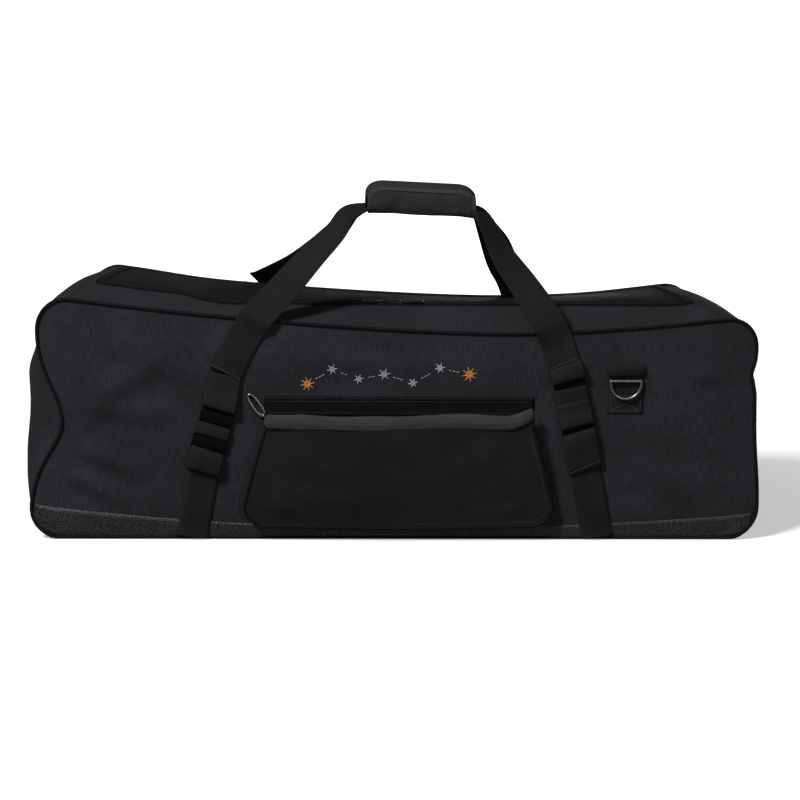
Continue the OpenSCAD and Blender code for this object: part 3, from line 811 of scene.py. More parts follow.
lid_outer, lid_inner, lid_uv = top_patch(LID_LOW[0] - 0.001, LID_HIGH[0] + 0.001, LID_LOW[1] - 0.0015, LID_HIGH[1],
                                         150, 40, 0.0095, "WESN", crown=0.0015)
shell = Shell()
shell.slab(lid_outer, lid_inner, lid_uv, 1)
lid = settle(shell.build("lid_pad", LID_CLOTH_SHADED, LINING), "lid", "cloth", "lid_panel", "lid_foam")

inside = (slice(4, -4), slice(4, -4))
shell = Shell()
shell.slab(lid_inner[inside] - [0, 0, 0.0002], lid_inner[inside] - [0, 0, 0.0012], lid_uv[inside])
lid_lining = settle(shell.build("lid_lining_cloth", LINING), "lid", "lining", "lid_lining")


def zip_path(inset, count=420):
    """Places along the three sides of the zip, from the rear left round to the rear right."""
    x, y0, y1, r = OPEN_X - inset, OPEN_FRONT + inset, LID_HIGH[1] - 0.006, 0.014 - inset * 0.5
    left = [(-x, y) for y in np.linspace(y1, y0 + r, 12)]
    turn = [(-x + r - r * math.cos(a), y0 + r - r * math.sin(a)) for a in np.linspace(0.1, math.pi / 2, 8)]
    run = [(q, y0) for q in np.linspace(-x + r, x - r, 60)[1:-1]]
    half = left + turn + run[:29]
    other = [(-q, y) for q, y in half[::-1]]
    path = np.array(half + other)
    return resample(path, count)


def to_left(path):
    """Unit directions to the left of a flat path."""
    ahead = unit(np.gradient(path, axis=0))
    return together(-ahead[:, 1], ahead[:, 0])


def zip_tape(name, node, inset, inward, body):
    """The cloth tape on one side of the main zip, inside or outside its line."""
    path = zip_path(inset)
    across = np.linspace(0, ZIP_TAPE_W, 4) * (1 if inward else -1)
    place = path[:, None, :] + to_left(path)[:, None, :] * across[None, :, None]
    top = top_point(place[..., 0], place[..., 1], 0.0004)
    shell = Shell()
    along = np.linspace(0, 1.2, len(path))
    uv = together(across + 0.02, along[:, None])
    shell.slab(top, top - [0, 0, 0.0009], uv, flip=inward)
    settle(shell.build(name, TAPE), body, "zip_tape", node)


def teeth(shell, centre, across, up, sign=1):
    """A coil's loops along a line: small rounded bars across it."""
    pitch, reach, radius = 0.0017, 0.0016, 0.00062
    along = run_length(centre)
    start = np.arange(0.001 + (0.25 + 0.25 * sign) * pitch, along[-1] - 0.001, pitch)
    for c, a in zip(values_at(start, along, centre), values_at(start, along, across)):
        shell.bead(c - a * reach * 0.4 * sign, c + a * reach * sign, up, radius, flat=0.9)


def zip_coil(name, node, inset, inward, body):
    """The row of teeth on one side of the main zip."""
    path = zip_path(inset)
    left = to_left(path)
    centre = top_point(path[:, 0], path[:, 1], 0.0012)
    across = np.column_stack([left, np.zeros(len(left))])
    shell = Shell()
    shell.tube(centre - across * (0.0007 if inward else -0.0007), 0.0006, sides=6)
    teeth(shell, centre, across, (0, 0, 1), sign=1 if inward else -1)
    settle(shell.build(name, COIL), body, "coil", node)


zip_tape("case_zip_tape", "zip_tape_case", 0.0052, False, "case")
zip_tape("lid_zip_tape", "zip_tape_lid", 0.006, True, "lid")
zip_coil("case_zip_coil", "zip_coil_case", 0.0046, False, "case")
zip_coil("lid_zip_coil", "zip_coil_lid", 0.007, True, "lid")

hinge_outer, hinge_inner, hinge_uv = top_patch(-OPEN_X + 0.001, OPEN_X - 0.001, LID_HIGH[1] - 0.012, REAR_EDGE,
                                               120, 12, 0.0022)
fade = smooth(np.linspace(1, 0, 12) / 0.5)[:, None]
hinge_outer[..., 2] += 0.002 * fade
shell = Shell()
shell.slab(hinge_outer, hinge_inner, hinge_uv, 1)
lid_hinge = shell.build("lid_hinge_cloth", LID_CLOTH_SHADED, LINING)
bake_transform(lid_hinge)


# ---- Things that lie on the front and rear faces ----
def sew(shell, x, z, off, stitch, side=FRONT):
    """A row of stitches along a line on a face."""
    line, normal = on_face(x, z, off, side)
    shell.stitches(line, normal, *stitch)


def seam_lift(x, z, side):
    """Extra height where something passes over the piping at the top and foot."""
    top = top_height(x, side)
    return 0.0036 * (np.exp(-(((top - z) / 0.01) ** 2)) + np.exp(-((z / 0.01) ** 2)))


def face_strap(shell, path, width, thick, off=0.0006, side=FRONT):
    """Webbing lying on a face, along a path of x and z from its foot up."""
    path = np.asarray(path, float)
    ahead = unit(np.gradient(path, axis=0))
    across = together(ahead[:, 1], -ahead[:, 0])
    s = np.linspace(-1, 1, 9)
    place = path[:, None, :] + across[:, None, :] * (s * width / 2)[None, :, None]
    x, z = place[..., 0], np.maximum(place[..., 1], STRAP_FOOT)
    lift = seam_lift(x, z, side)
    ridge = thick * (0.88 + 0.12 * np.cos(4 * math.pi * s)) * np.where(np.abs(s) > 0.99, 0.55, 1.0)
    outer, _ = on_face(x, z, off + lift + ridge, side)
    inner, _ = on_face(x, z, off + lift - 0.0004, side)
    uv = together(s * width / 2, run_length(path)[:, None])
    shell.slab(outer, inner, uv, flip=side > 0)


def guard_top(x):
    """Height of the vinyl's curved top edge."""
    left, right = clamp((-x - 0.12) / 0.37, 0, 1.05), clamp((x - 0.2) / 0.3, 0, 1.05)
    return 0.0195 + 0.026 * left ** 1.3 + 0.019 * right ** 1.2


def guard(side, name, node):
    """The vinyl along the foot of a face, with its row of stitches."""
    x0 = np.linspace(-0.4968, 0.4968, 150)
    reach = clamp(np.abs(x0) - BASE_FLAT_X, 0, CORNER_R)
    low = CORNER_R - np.sqrt(CORNER_R ** 2 - reach ** 2) + 0.0024
    high = np.maximum(guard_top(x0), low + 0.002)
    t = np.linspace(0, 1, 8)
    x, z = warp(np.broadcast_to(x0, (8, 150)), mix(low, high, t[:, None]), side)
    outer, _ = on_face(x, z, 0.0013, side)
    inner, _ = on_face(x, z, -0.0006, side)
    shell = Shell()
    shell.slab(outer, inner, together(x, z), flip=side > 0)
    sew(shell, x[-2, 4:-4], z[-2, 4:-4], 0.0014, GUARD_STITCH, side)
    settle(shell.build(name, VINYL, THREAD_GREY), "case", "vinyl", node)


guard(FRONT, "front_vinyl_strip", "front_vinyl_guard")
guard(REAR, "rear_vinyl_strip", "rear_vinyl_guard")

LEFT_STRAP = curve_through([(-0.2805, STRAP_FOOT), (-0.2592, 0.1234), (-0.2409, 0.1941), (-0.232, 0.2434),
                            (-0.214, 0.279)], 60)
RIGHT_STRAP = curve_through([(0.289, STRAP_FOOT), (0.2655, 0.118), (0.2495, 0.1895), (0.2405, 0.2374),
                             (0.228, 0.273)], 60)


def strap_at(path, z):
    """Centre and direction of a strap at a height."""
    x = np.interp(z, path[:, 1], path[:, 0])
    lean = (np.interp(z + 0.01, path[:, 1], path[:, 0]) - np.interp(z - 0.01, path[:, 1], path[:, 0])) / 0.02
    return x, lean


def strap_loop(shell, path, profile, tilt):
    """A sewn fold of webbing: a strip that follows heights and stand-offs, from its top down."""
    line = curve_through(profile, 26)
    x, lean = strap_at(path, line[:, 0])
    base, normal = on_face(x, line[:, 0], STRAP_TOP, FRONT)
    spot = base + normal * line[:, 1:2]
    across = together(np.ones_like(x), np.zeros_like(x), -lean + tilt)
    shell.ribbon(spot, across, WEB_W + 0.0012, FOLD_T)


def loop_stitches(shell, path, z, tilt, off):
    """A row of stitches across a strap at a height."""
    x, lean = strap_at(path, z)
    s = np.linspace(-0.46, 0.46, 12) * WEB_W
    sew(shell, x + s, z + s * (tilt - lean), off, FOLD_STITCH)


def gap_shade_strip(shell, path, z, high, wide, lift):
    """A dark strip of painted shade for the shadow in a gap between the webbing's folds, shaped like an elastic
    keeper: a short strip along the strap, wider than it.
    """
    heights = np.linspace(z - high / 2, z + high / 2, 6)
    x, lean = strap_at(path, heights)
    base, normal = on_face(x, heights, STRAP_TOP, FRONT)
    swell = 0.5 + 0.5 * np.sin(np.linspace(0, math.pi, 6))
    spot = base + normal * (lift * swell)[:, None]
    across = together(np.ones_like(x), np.zeros_like(x), -lean)
    shell.ribbon(spot, across, wide, 0.002)


# Dark strips across the gaps between each strap's folds: painted shade for the shadow in those gaps
for path, tag, gap_shade_strips in ((LEFT_STRAP, "left", ((0.1765, 0.022, 0.046, 0.003), (0.14, 0.02, 0.05, 0.004))),
                           (RIGHT_STRAP, "right", ((0.2255, 0.013, 0.045, 0.003), (0.162, 0.013, 0.046, 0.0034)))):
    shell = Shell()
    for z, high, wide, lift in gap_shade_strips:
        gap_shade_strip(shell, path, z, high, wide, lift)
    settle(shell.build("strap_gap_shade_" + tag, GAP_SHADE_WEB), "case", "webbing")

for path, tag, folds, seams in (
    (LEFT_STRAP, "left",
     [([(0.236, 0.001), (0.228, 0.0024), (0.213, 0.004), (0.203, 0.0075), (0.193, 0.0098), (0.188, 0.0078),
        (0.189, 0.0012)], -0.07),
      ([(0.166, 0.0004), (0.163, 0.004), (0.156, 0.0062), (0.15, 0.0052), (0.15, 0.0004)], -0.02),
      ([(0.13, 0.0012), (0.1285, 0.0066), (0.122, 0.0096), (0.107, 0.0098), (0.0995, 0.007),
        (0.0975, 0.001)], -0.12)],
     [(0.2405, -0.2, 0.0078), (0.0935, -0.05, 0.0034)]),
    (RIGHT_STRAP, "right",
     [([(0.251, 0.0008), (0.2475, 0.006), (0.24, 0.0092), (0.233, 0.0086), (0.2305, 0.005), (0.233, 0.001)], 0.1),
      ([(0.22, 0.0006), (0.217, 0.003), (0.207, 0.0036), (0.199, 0.003), (0.198, 0.0006)], 0.05),
      ([(0.2, 0.001), (0.197, 0.0056), (0.187, 0.0062), (0.174, 0.0092), (0.1665, 0.0086), (0.166, 0.0012)], 0.06),
      ([(0.157, 0.001), (0.1545, 0.0074), (0.145, 0.0086), (0.126, 0.007), (0.108, 0.005), (0.1, 0.001)], 0.1)],
     [(0.254, 0.1, 0.0052), (0.1075, 0.24, 0.0096)]),
):
    shell = Shell()
    face_strap(shell, path, WEB_W, WEB_T)
    settle(shell.build(f"front_strap_{tag}_web", WEBBING), "case", "webbing", f"front_strap_{tag}")
    shell = Shell()
    for profile, tilt in folds:
        strap_loop(shell, path, profile, tilt)
    for z, tilt, off in seams:
        loop_stitches(shell, path, z, tilt, off)
    settle(shell.build(f"strap_folds_{tag}", WEBBING, THREAD_GREY), "case", "webbing", f"strap_loops_{tag}")

for sign, tag in ((-1, "left"), (1, "right")):
    top_x = sign * 0.19
    path = curve_through([(sign * 0.284, STRAP_FOOT), (sign * 0.262, 0.12), (sign * 0.225, 0.235),
                          (top_x, top_height(top_x, REAR) - 0.004)], 60)
    shell = Shell()
    face_strap(shell, path, WEB_W, WEB_T, side=REAR)
    end, normal = on_face(np.array([top_x]), np.array([path[-1, 1]]), 0.0052, REAR)
    rise = curve_through([end[0] - [0, 0, 0.016], end[0], (top_x, 0.1282, 0.3185), (top_x, 0.128, 0.3222)], 12)
    shell.ribbon(rise, [(1, 0, -0.1 * sign)] * 12, WEB_W, WEB_T)
    settle(shell.build(f"rear_strap_{tag}_web", WEBBING), "case", "webbing", f"rear_strap_{tag}")


# ---- Ring tabs ----
def ring_tab(side, name, node):
    """The sewn webbing tab that holds a D-ring."""
    centre_x = -side * RING_X
    foot, top, width = 0.1815, 0.2465, 0.0505
    shell = Shell()
    path = together(np.full(30, centre_x), np.linspace(foot, top, 30))
    face_strap(shell, path, width, 0.0016, off=0.0002, side=side)
    fold_profile = curve_through([(0.2515, 0.002), (0.249, 0.0048), (0.243, 0.0058), (0.2375, 0.005),
                                  (0.2365, 0.0022)], 16)
    base, normal = on_face(np.full(16, centre_x), fold_profile[:, 0], 0.0, side)
    shell.ribbon(base + normal * fold_profile[:, 1:2], [(1, 0, 0.02)] * 16, width, 0.0021)
    for z in (foot + 0.004, 0.2065):
        sew(shell, centre_x + np.linspace(-0.021, 0.021, 10), z, 0.0019, TAB_STITCH, side)
    for s in (-0.021, 0.021):
        sew(shell, np.full(12, centre_x + s), np.linspace(foot + 0.004, 0.234, 12), 0.0019, TAB_STITCH, side)
    for a, b in ((-0.02, 0.02), (0.02, -0.02)):
        rise = np.linspace(foot + 0.005, 0.2055, 10)
        sew(shell, centre_x + np.linspace(a, b, 10), rise, 0.0019, TAB_STITCH, side)
    settle(shell.build(name, WEBBING, THREAD_GREY), "case", "webbing", node)


ring_tab(FRONT, "front_tab_web", "front_ring_tab")
ring_tab(REAR, "rear_tab_web", "rear_ring_tab")


# ---- Generic stitched emblem: a few stars joined by lines ----
STARS = [(-0.12, 0.222, 2.2), (-0.086, 0.243, 1.7), (-0.049, 0.229, 1.6), (-0.014, 0.236, 2.0), (0.026, 0.224, 1.6),
         (0.063, 0.246, 1.7), (0.104, 0.237, 2.4)]


def emblem():
    """Sews the stars and the dashes between them."""
    shell = Shell()
    for (x0, z0, _), (x1, z1, _) in zip(STARS, STARS[1:]):
        count = 14
        long = math.hypot(x1 - x0, z1 - z0)
        a, b = 0.012 / long, 1 - 0.012 / long
        sew(shell, np.linspace(mix(x0, x1, a), mix(x0, x1, b), count),
            np.linspace(mix(z0, z1, a), mix(z0, z1, b), count), GAP, STAR_STITCH)
    for n, (x, z, r) in enumerate(STARS):
        points = 8 if n in (0, 6) else 6
        for k in range(points * 2):
            a = math.pi * k / points + 0.2
            far = r * (0.0045 if k % 2 == 0 else 0.0024)
            out = np.array((0.0006, far))
            line, normal = on_face(x + out * math.cos(a), z + out * math.sin(a), GAP, FRONT)
            shell.bead(line[0], line[1], normal[0], 0.00085, 1 if n in (0, 6) else 0)
    settle(shell.build("stitched_stars", THREAD_PALE, THREAD_ORANGE), "case", "cloth")


emblem()


# ---- Pocket ----
POCKET_X = 0.0075
MOUTH_Z = 0.172
# Ends of the padded lip, and the length over which it rounds off
LIP_X0, LIP_X1, LIP_END = -0.1805, 0.1945, 0.006
POCKET_ZIP_X = (-0.178, 0.1935)
COIL_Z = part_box("pocket_zip_coil")[0][2] - 0.0035


def pocket_half(z):
    """Half width of the pocket at a height."""
    t = clamp((z - 0.04) / 0.125)
    return mix(0.2165, 0.1845, t ** 1.15)


def pocket_outline(count=110, margin=0.0):
    """x, z down the left side, along the bottom and up the right side."""
    foot, r = 0.0205 + margin, 0.03 - margin * 0.6
    left = [(-pocket_half(z) + margin, z) for z in np.linspace(MOUTH_Z, foot + r, 26)]
    xl = -pocket_half(foot + r) + margin
    turn = [(xl + r - r * math.cos(a), foot + r - r * math.sin(a)) for a in np.linspace(0.1, math.pi / 2, 10)]
    run = [(x, foot) for x in np.linspace(xl + r, -(xl + r), 60)[1:-1]]
    half = left + turn + run[:29]
    path = np.array(half + [(-x, z) for x, z in half[::-1]])
    path[:, 1] += 0.0016 * np.cos(path[:, 0] / 0.215 * math.pi) * -smooth((0.06 - path[:, 1]) / 0.04) + 0.001
    path[:, 0] += POCKET_X
    return resample(path, count)


def pocket_edge_y(z):
    """Y of the pocket's piped edge at a height."""
    return -0.1405 - 0.0085 * smooth(z / 0.16)


def pocket_face_y(x, z):
    """Y of the pocket's front at a place: full towards the middle, with a few soft waves."""
    half = pocket_half(z)
    u = clamp((half - np.abs(x - POCKET_X)) / 0.06)
    v = smooth((z - 0.018) / 0.05)
    full = smooth(u) * v
    out = 0.0035 * full
    out = out + 0.003 * full * fbm_v(x * 5.0, z * 7.0, 0.0, 21.3, 2)
    out = out + full * creases(x, z, POCKET_FOLDS)
    return pocket_edge_y(z) - out


def pocket_grid(columns=130, rows=56):
    """Places over the pocket's front, inside its outline."""
    edge = pocket_outline(600)
    left_side = edge[: len(edge) // 2]
    foot = left_side[:, 1].min()
    z = mix(foot + 0.0004, MOUTH_Z, np.linspace(0, 1, rows) ** 1.35)
    order = np.argsort(left_side[:, 1])
    x_left = np.interp(z, left_side[order, 1], left_side[order, 0])
    half = POCKET_X - x_left
    u = np.linspace(-1, 1, columns)
    x = POCKET_X + u * half[:, None]
    return x, np.broadcast_to(z[:, None], x.shape)


px, pz = pocket_grid()
py = pocket_face_y(px, pz)
outer = together(px, py, pz)
inner = outer + [0, 0.0022, 0]
shell = Shell()
shell.slab(outer, inner, together(px, pz))
edge = pocket_outline(160, margin=0.006)
keep = edge[(edge[:, 1] < 0.155) & (edge[:, 0] > POCKET_X + 0.02)]
line = together(keep[:, 0], pocket_face_y(keep[:, 0], keep[:, 1]) - 0.0003, keep[:, 1])
shell.stitches(line, [(0, -1, 0)] * len(line), *SEAM_STITCH)
pocket_cloth = settle(shell.build("pocket_front_cloth", POCKET_CLOTH, THREAD_DARK), "pocket_face", "pocket_cloth",
                      "pocket_panel")

edge = pocket_outline(150)
shell = Shell()
line = together(edge[:, 0], pocket_edge_y(edge[:, 1]) + 0.0004, edge[:, 1])
shell.tube(line, POCKET_PIPING_R, sides=10, up=(0, 1, 0))
settle(shell.build("pocket_seam_piping", PIPING), "pocket_face", "piping", "pocket_piping")

s = np.linspace(0, 1, 7)
sag = np.sin(s * math.pi)
gusset = np.zeros((len(edge), len(s), 3))
inward = unit(together(POCKET_X - edge[:, 0], 0.11 - edge[:, 1]))
wrinkle = 0.0016 * np.sin(np.linspace(0, 60, len(edge)))
bellows = 0.0022 * sag + wrinkle[:, None] * sag * 0.6
for k, axis in enumerate((0, 2)):
    gusset[..., axis] = edge[:, k:k + 1] + inward[:, k:k + 1] * bellows
wall_y = face_y(edge[:, 0], edge[:, 1], FRONT) + 0.0005
gusset[..., 1] = mix(wall_y[:, None], (pocket_edge_y(edge[:, 1]) + 0.0008)[:, None], s)
thin = gusset.copy()
for k, axis in enumerate((0, 2)):
    thin[..., axis] += inward[:, k:k + 1] * 0.0014
uv = together(s * 0.02, np.linspace(0, 0.72, len(edge))[:, None])
shell = Shell()
shell.slab(gusset, thin, uv, flip=True)
pocket_band = shell.build("pocket_gusset_cloth", POCKET_CLOTH)
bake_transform(pocket_band)
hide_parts("pocket_gusset_left", "pocket_gusset_right", "pocket_gusset_bottom")


def lip():
    """The pocket's padded top edge: a soft roll whose right end turns up."""
    count, sides = 120, 18
    t = np.linspace(0, 1, count)
    x = mix(LIP_X0, LIP_X1, t)
    wander = 0.0013 * fbm_v(x * 16, 0 * x, 0 * x, 4.4, 2)
    up = 0.1726 + 0.0012 * np.cos(t * 9) + 0.0125 * smooth((x - 0.155) / 0.042) + wander
    tall = 0.0106 * (1 + 0.1 * fbm_v(x * 22, 0 * x, 0 * x + 2, 8.8, 2)) * (1 - 0.12 * smooth((x - 0.16) / 0.03))
    deep = 0.0056 * (1 + 0.15 * fbm_v(x * 20, 0 * x + 3, 0 * x, 6.2, 2))
    ends = np.sqrt(clamp(1 - clamp((LIP_END - np.minimum(x - LIP_X0, LIP_X1 - x)) / LIP_END) ** 2, 0.06, 1))
    y = -0.1502 + 0.0015 * np.cos(t * 7 + 1) + 0.004 * smooth((x - 0.175) / 0.02)
    a = round_angles(sides)
    c, sn = np.cos(a), np.sin(a)
    ring = np.zeros((count, sides, 3))
    ring[..., 0] = x[:, None]
    ring[..., 1] = y[:, None] - (deep * ends)[:, None] * (squarish(c, 0.75))
    crease = 1 - 0.1 * np.exp(-((a - 0.35) / 0.25) ** 2)
    ring[..., 2] = up[:, None] + (tall * ends)[:, None] * (squarish(sn, 0.75))
    ring[..., 1] += (deep * ends)[:, None] * (1 - crease)
    uv = together(a * 0.008, x[:, None])
    shell = Shell()
    shell.caps(shell.grid(ring, uv, wrap_v=True), count, sides)
    line = together(x, y - deep * 0.93, up - tall * 0.62)[3:-3]
    shell.stitches(line, [(0, -1, -0.4)] * len(line), *SEAM_STITCH)
    piece = settle(shell.build("pocket_lip_roll", BINDING, THREAD_DARK), "pocket_face", "pocket_cloth",
                   "pocket_lip")
    rounding = piece.modifiers.new("Round", "SUBSURF")
    rounding.levels = rounding.render_levels = 1


lip()

x, z = np.meshgrid(np.linspace(-0.18, 0.1955, 110), np.linspace(0.14, 0.2045, 20))
outer, _ = on_face(x, z, 0.0012, FRONT)
inner, _ = on_face(x, z, -0.0006, FRONT)
shell = Shell()
shell.slab(outer, inner, together(z, x))
for level in (0.2025, 0.1975):
    sew(shell, np.linspace(*POCKET_ZIP_X, 90), level, 0.0013, ZIP_STITCH)
pocket_tape = settle(shell.build("pocket_zip_tape_cloth", TAPE, THREAD_DARK), "case", "zip_tape", "pocket_zip_tape")

line, normal = on_face(np.linspace(*POCKET_ZIP_X, 200), COIL_Z, 0.0022, FRONT)
shell = Shell()
shell.tube(line + [0, 0, 0.001], 0.0006, sides=6)
teeth(shell, line, np.tile((0.0, 0.0, -1.0), (200, 1)), (0, -1, 0))
settle(shell.build("pocket_zip_teeth", COIL), "case", "coil", "pocket_zip_coil")


# ---- Carrying handles and the padded grip ----
GRIP_LOW, GRIP_HIGH = (np.array(c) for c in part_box("front_wrap_pad"))
GRIP_X0, GRIP_X1 = GRIP_LOW[0], GRIP_HIGH[0]
GRIP_MID = (GRIP_X0 + GRIP_X1) / 2
GRIP_DROP, GRIP_TILT = 0.0024, 0.043
GRIP_Z = (GRIP_LOW[2] + GRIP_HIGH[2]) / 2
GRIP_Y = (GRIP_HIGH[1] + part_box("rear_wrap_pad")[0][1]) / 2
FRONT_WEB_Y = (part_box("front_handle_webbing")[1][1] + GRIP_HIGH[1]) / 2
REAR_WEB_Y = 2 * GRIP_Y - FRONT_WEB_Y


def grip_web(shell, y):
    """The webbing inside the grip, which hangs a little askew with it."""
    x = np.linspace(-0.018, 0.093, 14)
    z = GRIP_Z - GRIP_DROP - GRIP_TILT * (x - GRIP_MID)
    shell.ribbon(together(x, y + 0 * x, z), [(0, 0, -1)] * 14, 0.028, WEB_T)


def handle_arm(shell, points, across, count, narrow):
    """One side of a carrying handle, up to where it goes into the grip."""
    line, turn = curve_through(points, count), curve_through(across, count)
    u = np.linspace(0, 1, count)
    w = WEB_W - narrow * smooth((u - 0.86) / 0.14)
    # The webbing is folded on itself where it goes into the grip
    shell.ribbon(line, turn, w, WEB_T * (1 + 1.5 * bump(u, 0.88, 0.09)))


def face_lead(path, heights, lift):
    """Points and across directions of the part of a handle that lies on the front."""
    points, across = [], []
    for z in heights:
        x, lean = strap_at(path, z)
        spot, _ = on_face(np.array([x]), np.array([z]), lift + seam_lift(x, z, FRONT), FRONT)
        points.append(tuple(spot[0]))
        across.append((1 / math.hypot(1, lean), 0.0, -lean / math.hypot(1, lean)))
    return points, across


HANDLE_LEFT = np.array([(-0.233, 0.237), (-0.2221, 0.2643), (-0.201, 0.2992), (-0.1905, 0.316)])
HANDLE_RIGHT = np.array([(0.2385, 0.245), (0.2321, 0.2605), (0.2195, 0.2981), (0.213, 0.312)])
shell = Shell()
points, across = face_lead(HANDLE_LEFT, (0.237, 0.256, 0.28, 0.3), 0.0042)
points += [(-0.19, -0.131, 0.3175), (-0.161, -0.111, 0.3455), (-0.1165, -0.08, 0.392), (-0.083, -0.055, 0.424),
           (-0.065, -0.04, 0.447), (-0.044, -0.033, 0.4555), (-0.02, -0.031, 0.457)]
across += [(0.88, -0.08, -0.46), (0.82, -0.22, -0.5), (0.758, -0.39, -0.52), (0.6, -0.62, -0.5), (0.3, -0.86, -0.4),
           (0.1, -0.97, -0.2), (0.05, -1.0, -0.1)]
handle_arm(shell, points, across, 70, narrow=0.022)
points, across = face_lead(HANDLE_RIGHT, (0.248, 0.262, 0.276, 0.29), 0.0042)
across = [(-a[0], a[1], -a[2]) for a in across]
points += [(0.213, -0.131, 0.309), (0.1985, -0.123, 0.3323), (0.1798, -0.105, 0.3579), (0.153, -0.075, 0.3945),
           (0.1329, -0.049, 0.4324), (0.1183, -0.033, 0.453), (0.098, -0.024, 0.457)]
across += [(-0.94, -0.05, -0.33), (-0.9, -0.16, -0.38), (-0.86, -0.28, -0.42), (-0.8, -0.4, -0.45),
           (-0.66, -0.6, -0.46),
           (-0.4, -0.86, -0.3), (-0.1, -0.99, -0.1)]
handle_arm(shell, points, across, 70, narrow=0.027)
grip_web(shell, FRONT_WEB_Y)
for path, z, tilt in ((HANDLE_LEFT, 0.24, -0.3), (HANDLE_RIGHT, 0.25, 0.1)):
    loop_stitches(shell, path, z, tilt, 0.0064)
front_web = shell.build("front_handle_web", WEBBING, THREAD_GREY)
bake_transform(front_web)
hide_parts("front_handle_webbing")


def foot(sign):
    """Where the rear handle's webbing is sewn down, at the back edge of the lid."""
    return tuple(top_point(np.array([sign * 0.19]), np.array([0.1262]), 0.0022)[0])


shell = Shell()
for sign in (-1, 1):
    if sign < 0:
        points = [foot(sign), (-0.178, 0.118, 0.33), (-0.129, 0.07, 0.362), (-0.088, 0.03, 0.405),
                  (-0.06, 0.001, 0.44), (-0.044, -0.0085, 0.4555), (-0.02, -0.009, 0.4575)]
    else:
        points = [foot(sign), (0.18, 0.114, 0.331), (0.1625, 0.07, 0.364), (0.1455, 0.03, 0.406),
                  (0.1275, 0.001, 0.44), (0.116, -0.008, 0.453), (0.098, -0.009, 0.456)]
    across = [(-sign, 0, -0.1), (-0.95 * sign, 0.05, -0.25), (-0.8 * sign, 0.3, -0.5), (-0.55 * sign, 0.62, -0.55),
              (-0.25 * sign, 0.86, -0.4), (-0.1 * sign, 0.97, -0.2), (0, 1, -0.1)]
    handle_arm(shell, points, across, 60, narrow=0.024)
grip_web(shell, REAR_WEB_Y)
rear_web = shell.build("rear_handle_web", WEBBING)
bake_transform(rear_web)
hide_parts("rear_handle_webbing")

PAD_HALF_H = 0.0225
PAD_DEPTH = 0.0172
PAD_X0, PAD_X1 = GRIP_X0 + 0.0045, GRIP_X1
FLAP_X0, FLAP_X1 = GRIP_X0 + 0.0105, GRIP_X1 - 0.0035


def shoulder(x, x0, x1, round_r=0.026):
    """How much of its height the upper half of the grip keeps towards its rounded ends."""
    near = clamp(np.minimum(x - x0, x1 - x) / round_r)
    return 0.22 + 0.78 * np.sqrt(1 - (1 - near) ** 2)


def settle_grip(points):
    """The grip hangs a little low and tips down to the right."""
    points = np.array(points, float)
    points[..., 2] += -GRIP_DROP - GRIP_TILT * (points[..., 0] - GRIP_MID)
    return points


def pad_section(angle, grow=0.0, side=FRONT):
    """Y and z offsets from the grip's middle on its rounded outside, from -90 degrees below to 90 above."""
    c, sn = np.cos(angle), np.sin(angle)
    y0 = abs(FRONT_WEB_Y - GRIP_Y) + WEB_T / 2 + 0.0001
    y = y0 + (PAD_DEPTH + grow) * np.abs(c) ** 0.72
    z = (PAD_HALF_H + grow) * squarish(sn, 0.8)
    return side * y, z


def half_pad(side, name, node, body):
    """A soft half of the grip, flat against the webbing, with rounded ends."""
    stations, arc = 56, 22
    x = mix(PAD_X0, PAD_X1, 0.5 - 0.5 * np.cos(np.linspace(0.02, math.pi - 0.02, stations)))
    near = np.minimum(x - PAD_X0, PAD_X1 - x)
    full = np.sqrt(clamp(1 - (1 - clamp(near / 0.009)) ** 2, 0.1, 1))
    soft = 1 + 0.05 * fbm_v(x * 30, 0 * x, 0 * x + side, 2.2, 2)
    angle = np.linspace(-math.pi / 2, math.pi / 2, arc)
    y, z = pad_section(angle, 0.0, side)
    flat_y = y[0]
    ring = np.zeros((stations, arc + 5, 3))
    ring[..., 0] = x[:, None]
    ring[:, :arc, 1] = GRIP_Y + flat_y + (y - flat_y) * (full * soft)[:, None]
    ring[:, arc:, 1] = GRIP_Y + flat_y
    z = np.concatenate([z, np.linspace(z[-1], z[0], 7)[1:-1]])
    ring[..., 2] = GRIP_Z + z * np.where(z > 0, shoulder(x, PAD_X0, PAD_X1)[:, None], 0.85 + 0.15 * full[:, None])
    uv = together(np.linspace(0, 0.12, arc + 5), x[:, None])
    ring = settle_grip(ring)
    shell = Shell()
    shell.caps(shell.grid(ring, uv, wrap_v=True, flip=side > 0), stations, arc + 5, flip=side > 0)
    settle(shell.build(name, GRIP_CLOTH), body, "grip_cloth", node)


half_pad(FRONT, "front_grip_pad", "front_wrap_pad", "front_handle")
half_pad(REAR, "rear_grip_pad", "rear_wrap_pad", "rear_handle")


def wrapped(shell, x0, x1, a0, a1, near, far, columns, rows, wave=0.0):
    """A patch wrapped round the front of the grip between two angles, following its rounded shoulders."""
    angle = np.linspace(math.radians(a0), math.radians(a1), rows)
    x, a = np.meshgrid(mix(x0, x1, 0.5 - 0.5 * np.cos(np.linspace(0, math.pi, columns))), angle)
    fit = shoulder(x, FLAP_X0, FLAP_X1)
    ripple = wave * fbm_v(x * 26, a * 1.2, 0 * x, 7.7, 2)
    sides = []
    for lift in (far + ripple, near):
        y, z = pad_section(a, lift)
        z = np.where(z > 0, z * fit, z)
        sides.append(settle_grip(together(x, GRIP_Y + y, GRIP_Z + z)))
    shell.slab(sides[0], sides[1], together(a * 0.02, x))
    return sides


